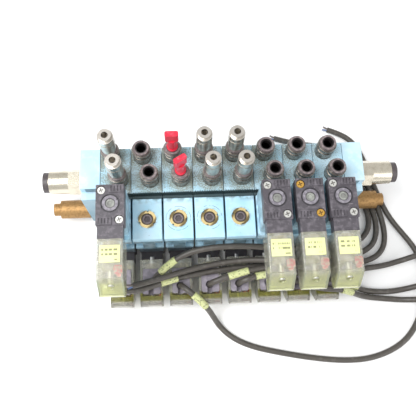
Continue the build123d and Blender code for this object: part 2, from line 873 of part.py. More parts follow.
def make_coil_cover():
    """Clear moulded cover over the coil, open behind and under the connector."""
    outer_outline = make_cover_outline(0)
    inner_outline = make_cover_outline(cover_wall)
    with BuildPart() as cover:
        with BuildSketch(Plane.YZ.offset(-cover_half_width)):
            add(outer_outline)
        extrude(amount=2 * cover_half_width)
        long_edges = cover.edges().filter_by(Axis.Y).group_by(Axis.Z)[-1]
        fillet(long_edges, cover_round)
        with BuildSketch(Plane.YZ.offset(cover_wall - cover_half_width)):
            add(inner_outline)
        extrude(amount=2 * (cover_half_width - cover_wall), mode=Mode.SUBTRACT)
        # opening for the connector, in the face towards the valve's middle
        with BuildSketch(Plane.XY.offset(cover_bottom)):
            with Locations((0, (opening_back + opening_front) / 2)):
                Rectangle(2 * (connector_half_width + opening_gap), opening_back - opening_front)
        extrude(amount=cover_wall + slip_gap, mode=Mode.SUBTRACT)
        # hole for the screw in the slanted nose
        with BuildSketch(Plane.XZ.offset(-nose_hole_start)):
            with Locations((0, coil_axis_z)):
                Circle(cover_screw_radius + cover_screw_gap)
        extrude(amount=nose_hole_length, mode=Mode.SUBTRACT)
    return cover.part


def make_cover_screw():
    """Slotted screw that holds the cover on the pole."""
    back = coil_start - coil_length - pole_past_coil
    with BuildPart() as screw:
        with BuildSketch(Plane.XZ.offset(-back)):
            with Locations((0, coil_axis_z)):
                Circle(cover_screw_radius)
        extrude(amount=cover_screw_length)
        with BuildSketch(Plane.XZ.offset(-back + cover_screw_length)):
            with Locations((0, coil_axis_z)):
                Rectangle(2 * (cover_screw_radius + slip_gap), cover_slot_width)
        extrude(amount=-cover_slot_depth, mode=Mode.SUBTRACT)
    return screw.part


def make_connector_plug():
    """Plug of the coil's lead, with a notch for the cable."""
    with BuildPart() as plug:
        with BuildSketch(Plane.XY.offset(plug_top)):
            with Locations((0, (connector_back + connector_front) / 2)):
                Rectangle(2 * connector_half_width, connector_back - connector_front)
        extrude(amount=connector_height)
        chamfer(plug.edges().filter_by(Axis.Z), connector_edge)
        with BuildSketch(Plane.XY.offset(plug_top)):
            with Locations((cable_exit_x, cable_exit_y)):
                Circle(cable_notch_radius)
            with Locations((cable_exit_x, (cable_exit_y + connector_front) / 2)):
                Rectangle(cable_notch_width, cable_exit_y - connector_front)
        extrude(amount=cable_notch_depth, mode=Mode.SUBTRACT)
    return plug.part


def make_indicator_lamp():
    """Small lamp that shows through the cover, near its front right corner."""
    with BuildPart() as lamp:
        with BuildSketch(Plane.XY.offset(cover_top - cover_wall - slip_gap)):
            with Locations((lamp_x, lamp_y)):
                Circle(lamp_radius)
        extrude(amount=-lamp_height)
    return lamp.part


def make_port_fittings():
    """Push-in tube fittings screwed into both ports of every station."""
    with BuildPart() as port_fittings:
        for number in stations:
            for place in port_places(number):
                with BuildSketch(Plane.XY.offset(base_height)):
                    with Locations(place):
                        Circle(port_thread_radius)
                extrude(amount=-(port_thread_depth - thread_end_gap))
                with BuildSketch(Plane.XY.offset(base_height)):
                    with Locations(place):
                        Circle(fitting_waist)
                extrude(amount=fitting_height)
                with BuildSketch(Plane.XY.offset(base_height)):
                    with Locations(place):
                        Circle(fitting_radius)
                extrude(amount=fitting_foot)
                with BuildSketch(Plane.XY.offset(collar_bottom - fitting_lip_drop)):
                    with Locations(place):
                        Circle(fitting_radius)
                extrude(amount=fitting_lip)
                with BuildSketch(Plane.XY.offset(collar_bottom)):
                    with Locations(place):
                        Circle(tube_radius)
                extrude(amount=tube_stop - fitting_height, mode=Mode.SUBTRACT)
                with BuildSketch(Plane.XY.offset(base_height + tube_stop)):
                    with Locations(place):
                        Circle(passage_radius)
                extrude(amount=-(tube_stop + port_thread_depth), mode=Mode.SUBTRACT)
                # seat for the release collar's skirt
                with BuildSketch(Plane.XY.offset(collar_bottom)):
                    with Locations(place):
                        Circle(tube_radius + collar_wall + head_gap)
                extrude(amount=-(collar_skirt + end_gap), mode=Mode.SUBTRACT)
    return port_fittings.part


def make_port_collars():
    """Release collars: one in each port fitting and one in each supply fitting."""
    with BuildPart() as port_collars:
        for number in stations:
            for place in port_places(number):
                with BuildSketch(Plane.XY.offset(collar_bottom + slip_gap)):
                    with Locations(place):
                        Circle(collar_radius)
                extrude(amount=collar_height - slip_gap)
                with BuildSketch(Plane.XY.offset(collar_bottom - collar_skirt)):
                    with Locations(place):
                        Circle(tube_radius + collar_wall)
                extrude(amount=collar_skirt + 2 * slip_gap)
                # one bore with the fitting's seat, so that a tube slides through both
                with BuildSketch(Plane.XY.offset(collar_top)):
                    with Locations(place):
                        Circle(tube_radius)
                extrude(amount=-(collar_height + collar_skirt), mode=Mode.SUBTRACT)
                with BuildSketch(Plane.XY.offset(collar_top)):
                    with Locations(place):
                        Circle(tube_radius + collar_lead_in)
                extrude(amount=-collar_lead_in, mode=Mode.SUBTRACT)
        for side in (-1, 1):
            mouth = side * (end_face + end_washer + end_hex_length + end_body_length)
            with BuildSketch(Plane.YZ.offset(mouth + side * slip_gap)):
                with Locations((supply_y, supply_z)):
                    Circle(end_collar_radius)
                    Circle(end_tube_radius, mode=Mode.SUBTRACT)
            extrude(amount=side * (end_collar_length - slip_gap))
    return port_collars.part


def make_reducers():
    """Plug-in reducers for a thinner tube, in three stations' ports."""
    with BuildPart() as reducers:
        for number in reducer_stations:
            for place in port_places(number):
                with BuildSketch(Plane.XY.offset(base_height + tube_stop + slip_gap)):
                    with Locations(place):
                        Circle(tube_radius - seat_gap)
                extrude(amount=collar_top + reducer_heights[0] - base_height - tube_stop - slip_gap)
                for low, high, swell in zip(reducer_heights, reducer_heights[1:], reducer_swells):
                    with BuildSketch(Plane.XY.offset(collar_top + low)):
                        with Locations(place):
                            Circle(tube_radius + swell)
                    extrude(amount=high - low)
                with BuildSketch(Plane.XY.offset(collar_top + reducer_rise)):
                    with Locations(place):
                        Circle(reducer_tube_radius)
                extrude(amount=-reducer_seat, mode=Mode.SUBTRACT)
                with BuildSketch(Plane.XY.offset(collar_top + reducer_rise)):
                    with Locations(place):
                        Circle(reducer_way)
                extrude(amount=tube_stop - reducer_rise - fitting_height, mode=Mode.SUBTRACT)
    return reducers.part


def make_port_plug(place, turn):
    """Plastic plug with a flat pull handle, closing a port."""
    shank_top = collar_top + plug_rise - plug_handle_height
    with BuildPart() as port_plug:
        with BuildSketch(Plane.XY.offset(base_height + tube_stop + slip_gap)):
            with Locations(place):
                Circle(tube_radius - seat_gap)
        extrude(amount=collar_top - base_height - tube_stop + plug_stand + slip_gap)
        with BuildSketch(Plane.XY.offset(collar_top + plug_stand)):
            with Locations(place):
                Circle(plug_flange)
        extrude(amount=plug_flange_height)
        with BuildSketch(Plane.XY.offset(collar_top + plug_stand)):
            with Locations(place):
                Circle(plug_neck)
        extrude(amount=shank_top - collar_top - plug_stand + plug_neck_bite)
        with BuildSketch(Plane.XY.offset(shank_top)):
            with Locations(place):
                RectangleRounded(plug_handle_width, plug_handle_thickness, plug_handle_round, rotation=turn)
        extrude(amount=plug_handle_height)
    return port_plug.part


def make_supply_fittings():
    """Push-in supply fittings in both end plates."""
    with BuildPart() as supply_fittings:
        for side in (-1, 1):
            washer_end = end_face + end_washer
            hex_end = washer_end + end_hex_length
            mouth = hex_end + end_body_length
            thread_start = end_face - end_thread_depth + thread_end_gap
            bands = (
                (thread_start, washer_end, end_thread_radius - seat_gap),
                (end_face, washer_end, end_washer_radius),
                (hex_end, mouth, end_body_radius),
            )
            for start, stop, radius in bands:
                with BuildSketch(Plane.YZ.offset(side * start)):
                    with Locations((supply_y, supply_z)):
                        Circle(radius)
                extrude(amount=side * (stop - start))
            with BuildSketch(Plane.YZ.offset(side * washer_end)):
                with Locations((supply_y, supply_z)):
                    RegularPolygon(end_hex_across / 2, 6, major_radius=False)
            extrude(amount=side * end_hex_length)
            with BuildSketch(Plane.YZ.offset(side * mouth)):
                with Locations((supply_y, supply_z)):
                    Circle(end_tube_radius)
            extrude(amount=-side * end_seat_depth, mode=Mode.SUBTRACT)
            with BuildSketch(Plane.YZ.offset(side * mouth)):
                with Locations((supply_y, supply_z)):
                    Circle(end_way_radius)
            extrude(amount=-side * (mouth - thread_start), mode=Mode.SUBTRACT)
    return supply_fittings.part


def make_silencers():
    """Sintered bronze silencers in both end plates' exhaust ports."""
    with BuildPart() as silencers:
        for side in (-1, 1):
            body_end = end_face + silencer_length
            bands = (
                (end_face - silencer_thread_depth, end_face, silencer_thread_radius - seat_gap),
                (end_face, body_end, silencer_radius),
                (body_end, body_end + silencer_tip_length, silencer_tip_radius),
            )
            for start, stop, radius in bands:
                with BuildSketch(Plane.YZ.offset(side * start)):
                    with Locations((exhaust_y, exhaust_z)):
                        Circle(radius)
                extrude(amount=side * (stop - start))
            with BuildSketch(Plane.YZ.offset(side * (end_face - silencer_thread_depth))):
                with Locations((exhaust_y, exhaust_z)):
                    Circle(silencer_bore)
            bore_length = silencer_thread_depth + silencer_length - silencer_end_wall
            extrude(amount=side * bore_length, mode=Mode.SUBTRACT)
    return silencers.part


# ---------------------------------------------------------------- cables
# Routes run from the connector to the cut end. Heights over the table are Z.
lower_exit_z = operator_height - plug_top - cable_notch_depth
upper_exit_z = plug_top + cable_notch_depth


def lower_exit(number):
    """Bottom of the notch in a lower connector."""
    return (station_x(number) + cable_exit_x, cable_exit_y, lower_exit_z)


def upper_exit(number):
    """Top of the notch in an upper connector."""
    return (station_x(number) + cable_exit_x, cable_exit_y, upper_exit_z)


cable_routes = {
    "cable_upper_1": [
        upper_exit(1), (-70.5, -36.5, 57.5), (-71.2, -38.4, 46), (-69.5, -40.8, 35), (-61.5, -40.6, 29.4),
        (-51, -38.4, 30), (-40, -34.6, 27.4), (-27.5, -31, 24.4), (-14, -28.8, 23.4), (-1, -27.2, 23.2),
        (13, -26, 23), (28, -25.2, 22.9), (44, -25, 22.9), (61, -24.2, 22.9), (79.5, -21.6, 22.9),
        (89, -19, 15.4), (98, -16.2, 6.6), (105.4, -13, 2.3), (111.6, -8.2, 2.1), (114.8, -0.5, 2.1),
        (115.4, 8, 2.1), (113.9, 18, 2.1), (109.9, 29.5, 2.1), (105.4, 41.5, 2.1), (101.6, 53, 2.1),
        (93.2, 61.6, 2.1), (80.5, 63.4, 2.1), (68.5, 63, 2.1),
    ],
    "cable_lower_2": [
        lower_exit(2), (-50.5, -36.5, 24.2), (-47.6, -32.4, 28.4), (-41, -27, 32.6), (-33, -21.8, 36.8),
        (-24, -18, 40), (-12, -16, 42), (2, -15.3, 42.6), (16, -15.6, 41.6), (31, -16.3, 38.6),
        (47, -16.7, 34), (63, -16.3, 28.4), (77, -14.2, 20.6), (88.5, -11.2, 11), (97.5, -7.8, 4),
        (104.6, -3.2, 2.1), (109, 2.6, 2.1), (110.6, 10, 2.1), (109.2, 19, 2.1), (105.1, 30, 2.1),
        (100.5, 41, 2.1), (96.2, 51, 2.1), (88.3, 56.8, 2.1), (77.5, 57.8, 2.1), (66.5, 57.2, 2.1),
    ],
    "cable_lower_3": [
        lower_exit(3), (-30.5, -36.5, 24.2), (-27.2, -39.6, 28), (-20.8, -45, 27.4), (-15.4, -49.8, 23.4),
        (-11.2, -53.8, 15.6), (-8, -57.8, 7.4), (-4.6, -62.6, 2.4), (0.6, -68.4, 2.1), (8.6, -74, 2.1),
        (20, -78.8, 2.1), (38, -83.2, 2.1), (60, -87.6, 2.1), (81, -90.2, 2.1), (99, -89.6, 2.1),
        (114.5, -85, 2.1), (126.6, -77.8, 2.1), (135, -68, 2.1), (141, -56.5, 2.1), (144.8, -44, 2.1),
        (146.2, -31.5, 2.1), (144.8, -20, 2.1), (140, -9.6, 2.1), (133.8, -0.6, 2.1), (127.8, 8.2, 2.1),
        (123.1, 18, 2.1), (119.2, 30.5, 2.1), (115.4, 43.5, 2.1), (112.4, 56, 2.1), (108.8, 66.6, 2.1),
        (103, 74.8, 2.1), (95, 80, 2.1), (86.5, 83.4, 2.1),
    ],
    "cable_lower_4": [
        lower_exit(4), (-10.5, -36.5, 24.2), (-6.4, -35.6, 28.2), (3, -32.8, 29), (15, -29.6, 28.6),
        (28, -27.2, 28), (43.5, -27.6, 27.6), (60, -27.6, 27.1), (79, -26.6, 25.4), (88.5, -25, 17.6),
        (97.5, -22.9, 8.6), (106, -20.6, 2.4), (113.8, -17.2, 2.1), (119, -10.8, 2.1), (120.9, -2.6, 2.1),
        (120.6, 7, 2.1), (118.5, 18, 2.1), (114.6, 30, 2.1), (110.2, 42.5, 2.1), (106.2, 55, 2.1),
        (98, 65.2, 2.1), (84, 69.2, 2.1), (69, 71.2, 2.1), (55.5, 73.8, 2.1), (44.5, 77.4, 2.1),
    ],
    "cable_lower_5": [
        lower_exit(5), (9.5, -36.5, 24.2), (13.8, -35.4, 28), (21.5, -33, 27.4), (32, -31.7, 26),
        (45, -31.8, 25), (61, -32.1, 24.3), (79.5, -31.3, 23.6), (88.5, -29.8, 16.2), (97.5, -27.9, 7.8),
        (106, -26.1, 2.6), (116, -25, 2.1), (126, -22.8, 3.2), (134.5, -20.8, 6.6), (141.5, -18.9, 8.4),
        (149.5, -16.8, 8.4), (157.5, -15.2, 5), (165.5, -13.6, 2.1), (173.5, -12.6, 2.1),
    ],
    "cable_lower_7": [
        lower_exit(7), (49.5, -36.5, 24.2), (52.8, -38.8, 27.8), (59.5, -41.8, 26.6), (68.5, -43.3, 24.9),
        (79.5, -44, 23.9), (87.5, -44.8, 15.6), (94, -45.8, 7.8), (101, -46.9, 2.9), (109.5, -48, 2.1),
        (118.5, -49.1, 2.1), (127, -50.1, 3.2), (134, -50.7, 6.6), (140, -51, 8.4), (148.5, -50.9, 8.4),
        (156.5, -50.4, 5), (164.5, -49.4, 2.1), (172.5, -47.8, 2.1),
    ],
    "cable_lower_8": [
        lower_exit(8), (69.5, -36.5, 24.2), (73.6, -37.4, 28), (81, -38.6, 25.2), (87.6, -39.8, 16.4),
        (94, -41, 7.8), (101.5, -42.5, 2.6), (110, -43.6, 2.1), (120, -43.7, 2.1), (129.5, -42.6, 3.2),
        (137, -41.4, 6.6), (142.5, -40.4, 8.4), (150.5, -38.8, 8.4), (158.5, -36.8, 5), (166.5, -34.4, 2.1),
        (174, -31.6, 2.1),
    ],
    "cable_upper_8": [
        upper_exit(8), (69.5, -36.5, 58), (67.2, -35.2, 47.4), (59, -31.8, 40), (46.5, -27.5, 35.8),
        (32.5, -23.6, 32.2), (18, -22.3, 29.6), (3, -22.8, 28.2), (-10, -24.6, 28.1), (-22.5, -27.1, 29.2),
        (-35, -31, 31.8), (-48, -34.8, 34.8), (-61.5, -38, 35.6),
    ],
}


def bend_radii(route):
    """The largest tangent arc that each corner's two runs allow."""
    points = [Vector(*point) for point in route]
    radii = []
    for before, corner, after in zip(points, points[1:], points[2:]):
        arriving = corner - before
        leaving = after - corner
        turn = radians(arriving.get_angle(leaving))
        radii.append(corner_share * min(arriving.length, leaving.length) / tan(turn / 2))
    return radii


def make_cable(name, route):
    """One lead as a round tube along its route."""
    radii = bend_radii(route)
    with BuildPart() as cable:
        with BuildLine() as path:
            FilletPolyline(*route, radius=radii)
        centre_line = path.wires()[0]
        with BuildSketch(Plane(origin=centre_line @ 0, z_dir=centre_line % 0)):
            Circle(cable_radius)
        sweep(path=centre_line)
    length = centre_line.length
    volume_ratio = cable.part.volume / (pi * cable_radius**2 * length)
    print(f"{name}: length {length:.1f}, tightest bend {min(radii):.1f}, volume ratio {volume_ratio:.4f}")
    return cable.part


# ---------------------------------------------------------------- everything
os.makedirs("parts", exist_ok=True)

finish(make_station_bases(), "station_bases")
finish(make_end_plate(-1), "end_plate_left")
finish(make_end_plate(1), "end_plate_right")
finish(make_gaskets(), "gaskets")
finish(make_tie_rods(), "tie_rods")
finish(make_valve_bodies(), "valve_bodies")
finish(make_valve_screws(), "valve_screws")
finish(make_end_caps(), "end_caps")
finish(make_cap_rings(), "cap_rings")
finish(make_cap_plugs(), "cap_plugs")
finish(make_pilot_adaptors(), "pilot_adaptors")
finish(place_operators(make_operator_block()), "operator_blocks")
finish(place_operators(make_operator_screw()), "operator_screws")
finish(place_operators(make_override_ring()), "override_rings")
finish(place_operators(make_solenoid_coil()), "solenoid_coils")
finish(place_operators(make_pole_tube()), "pole_tubes")
finish(place_operators(make_armature()), "armatures")
finish(place_operators(make_coil_cover()), "coil_covers")
finish(place_operators(make_cover_screw()), "cover_screws")
finish(place_operators(make_connector_plug()), "connector_plugs")
finish(place_operators(make_indicator_lamp()), "indicator_lamps")
finish(make_port_fittings(), "port_fittings")
finish(make_port_collars(), "port_collars")
finish(make_reducers(), "reducers")
finish(make_supply_fittings(), "supply_fittings")
finish(make_silencers(), "silencers")
for station in stations:
    finish(make_spool(station), f"spool_{station}")
    finish(make_override_button(station, upper=False), f"override_lower_{station}")
for station in double_stations:
    finish(make_override_button(station, upper=True), f"override_upper_{station}")
for station in single_stations:
    finish(make_return_spring(station), f"return_spring_{station}")
front_plug_place, back_plug_place = port_places(plug_station)
finish(make_port_plug(front_plug_place, front_plug_turn), "port_plug_front")
finish(make_port_plug(back_plug_place, 0), "port_plug_back")
for cable_name, cable_route in cable_routes.items():
    finish(make_cable(cable_name, cable_route), cable_name)
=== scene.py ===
import math

import bpy
from mathutils import Matrix, Vector


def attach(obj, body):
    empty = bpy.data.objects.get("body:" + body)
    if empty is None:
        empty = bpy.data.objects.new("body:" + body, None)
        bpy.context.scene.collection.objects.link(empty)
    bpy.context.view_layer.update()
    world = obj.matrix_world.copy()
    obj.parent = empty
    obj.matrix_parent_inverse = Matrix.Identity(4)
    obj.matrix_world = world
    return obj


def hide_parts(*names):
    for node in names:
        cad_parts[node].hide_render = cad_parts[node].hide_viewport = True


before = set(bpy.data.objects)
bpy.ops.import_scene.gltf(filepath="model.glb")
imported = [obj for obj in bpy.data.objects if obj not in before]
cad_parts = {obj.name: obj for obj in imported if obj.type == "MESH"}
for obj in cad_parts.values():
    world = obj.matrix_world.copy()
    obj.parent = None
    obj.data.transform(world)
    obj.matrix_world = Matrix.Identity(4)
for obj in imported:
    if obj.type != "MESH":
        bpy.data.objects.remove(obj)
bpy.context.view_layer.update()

# ---------------------------------------------------------------- camera
# Looks down on the bank from in front, a little turned and rolled.
camera = bpy.data.objects.new("camera", bpy.data.cameras.new("camera"))
bpy.context.scene.collection.objects.link(camera)
camera.data.lens = 50.56
camera.matrix_world = Matrix((
    (0.9987, 0.0331, -0.0393, -0.0256),
    (-0.0428, 0.9583, -0.2828, -0.0993),
    (0.0284, 0.2841, 0.9584, 0.4174),
    (0.0, 0.0, 0.0, 1.0),
))
bpy.context.scene.camera = camera


# ---------------------------------------------------------------- coil leads
# Round two-core leads in a dull dark grey jacket, 4 mm thick. Each leaves the
# notch of a coil's connector and was cut off with side cutters, so that a stub
# of each core shows. Most carry a short printed marker sleeve near the coil.
class Value:
    """One output of a node, so that shader sums are written as plain sums."""

    def __init__(self, finish, output):
        self.finish, self.output = finish, output

    def maths(self, operation, other=0.0, turned=False):
        first, second = (other, self) if turned else (self, other)
        return self.finish.node("ShaderNodeMath", {"operation": operation}, {0: first, 1: second})

    def __add__(self, other):
        return self.maths("ADD", other)

    def __sub__(self, other):
        return self.maths("SUBTRACT", other)

    def __rsub__(self, other):
        return self.maths("SUBTRACT", other, turned=True)

    def __mul__(self, other):
        return self.maths("MULTIPLY", other)

    def __mod__(self, other):
        return self.maths("FLOORED_MODULO", other)

    def __abs__(self):
        return self.maths("ABSOLUTE")

    def ease(self, start, end):
        """Rises smoothly from 0 at start to 1 at end."""
        return self.finish.node(
            "ShaderNodeMapRange",
            {"interpolation_type": "SMOOTHSTEP"},
            {"Value": self, "From Min": start, "From Max": end},
        )

    def lesser(self, other):
        return self.maths("MINIMUM", other)

    __radd__ = __add__


class Finish:
    """A material laid out on its piece's own coordinates, in metres."""

    def __init__(self, name, constants):
        self.material = bpy.data.materials.new(name)
        self.material.use_nodes = True
        self.tree = self.material.node_tree
        self.shader = self.tree.nodes["Principled BSDF"]
        for socket, value in constants.items():
            self.shader.inputs[socket].default_value = value
        self.place = self.node("ShaderNodeTexCoord", {}, {}, "Object")
        self.x, self.y, self.z = [
            self.node("ShaderNodeSeparateXYZ", {}, {0: self.place}, axis) for axis in "XYZ"
        ]

    def node(self, kind, settings, sockets, output=0):
        made = self.tree.nodes.new(kind)
        for name, value in settings.items():
            setattr(made, name, value)
        for name, value in sockets.items():
            if isinstance(value, Value):
                self.tree.links.new(value.output, made.inputs[name])
            else:
                made.inputs[name].default_value = value
        return Value(self, made.outputs[output])

    def noise(self, grain, detail=3.0, stretch=(1.0, 1.0, 1.0)):
        """Cloudy noise from 0 to 1 whose spots are about grain metres wide."""
        where = self.node("ShaderNodeMapping", {}, {"Vector": self.place, "Scale": stretch})
        return self.node(
            "ShaderNodeTexNoise", {}, {"Vector": where, "Scale": 1 / grain, "Detail": detail})

    def mix(self, share, first, second):
        return self.node("ShaderNodeMix", {"data_type": "RGBA"}, {0: share, 6: first, 7: second}, 2)

    def put(self, socket, value):
        self.tree.links.new(value.output, self.shader.inputs[socket])

    def bump(self, height, depth):
        raised = self.node("ShaderNodeBump", {}, {"Distance": depth, "Height": height}, "Normal")
        self.put("Normal", raised)


def tint(text):
    """A hex colour as the shader's own linear numbers."""
    parts = [int(text[at:at + 2], 16) / 255 for at in (0, 2, 4)]
    return [p / 12.92 if p <= 0.04045 else ((p + 0.055) / 1.055) ** 2.4 for p in parts] + [1.0]


def dress(finish, *names):
    """Gives CAD nodes their finish."""
    for name in names:
        for material_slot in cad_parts[name].material_slots:
            material_slot.material = finish.material


jacket = Finish("lead_jacket", {"IOR": 1.48})
scuffs = jacket.noise(0.0035, 4.0).ease(0.52, 0.72)
jacket.put("Base Color", jacket.mix(scuffs * 0.4, tint("48443F"), tint("6E6A64")))
jacket.put("Roughness", 0.32 + jacket.noise(0.0012) * 0.18)
jacket.bump(jacket.noise(0.0006, 2.0), 0.00005)

sleeve_finish = Finish("marker_sleeve", {"IOR": 1.46})
print_row = sleeve_finish.noise(0.0009, 1.0).ease(0.60, 0.64)
faded = sleeve_finish.mix(sleeve_finish.noise(0.004), tint("B2B878"), tint("CFD3A2"))
sleeve_finish.put("Base Color", sleeve_finish.mix(print_row * 0.85, faded, tint("34352A")))
sleeve_finish.put("Roughness", 0.35 + sleeve_finish.noise(0.002) * 0.2)
sleeve_finish.bump(sleeve_finish.noise(0.0015), 0.00004)


def core_finish(name, colour):
    finish = Finish(name, {})
    finish.put("Base Color", finish.mix(finish.noise(0.0008), tint(colour), tint("6F6C6A")))
    finish.put("Roughness", 0.4 + finish.noise(0.0005) * 0.2)
    finish.bump(finish.noise(0.0003), 0.00002)
    return finish


blue_core = core_finish("blue_core", "3F6FB4")
brown_core = core_finish("brown_core", "5B4036")


def tube_along(name, line, radius, wall, finish):
    """A mesh tube that follows a line; with a wall it is a sleeve, without one a solid core."""
    data = bpy.data.curves.new(name, "CURVE")
    data.dimensions = "3D"
    spline = data.splines.new("POLY")
    spline.points.add(len(line) - 1)
    for point, place in zip(spline.points, line):
        point.co = (*place, 1.0)
    data.bevel_depth = radius
    data.bevel_resolution = 5
    data.use_fill_caps = not wall
    piece = bpy.data.objects.new(name, data)
    bpy.context.scene.collection.objects.link(piece)
    bpy.ops.object.select_all(action="DESELECT")
    piece.select_set(True)
    bpy.context.view_layer.objects.active = piece
    bpy.ops.object.convert(target="MESH")
    piece = bpy.context.active_object
    if wall:
        thick = piece.modifiers.new("wall", "SOLIDIFY")
        thick.thickness, thick.offset = wall, 1.0
        bpy.ops.object.modifier_apply(modifier=thick.name)
    piece.data.materials.clear()
    piece.data.materials.append(finish.material)
    bpy.ops.object.shade_smooth_by_angle(angle=math.radians(40))
    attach(piece, "bank")
    return piece


def stretch_of(line, start, end):
    """The stretch of a line between two distances along it."""
    found, gone = [], 0.0
    for first, second in zip(line, line[1:]):
        step = (second - first).length
        for distance in (start, end):
            if gone <= distance < gone + step:
                found.append(first.lerp(second, (distance - gone) / step))
        if start < gone + step < end:
            found.append(second.copy())
        gone += step
    return found


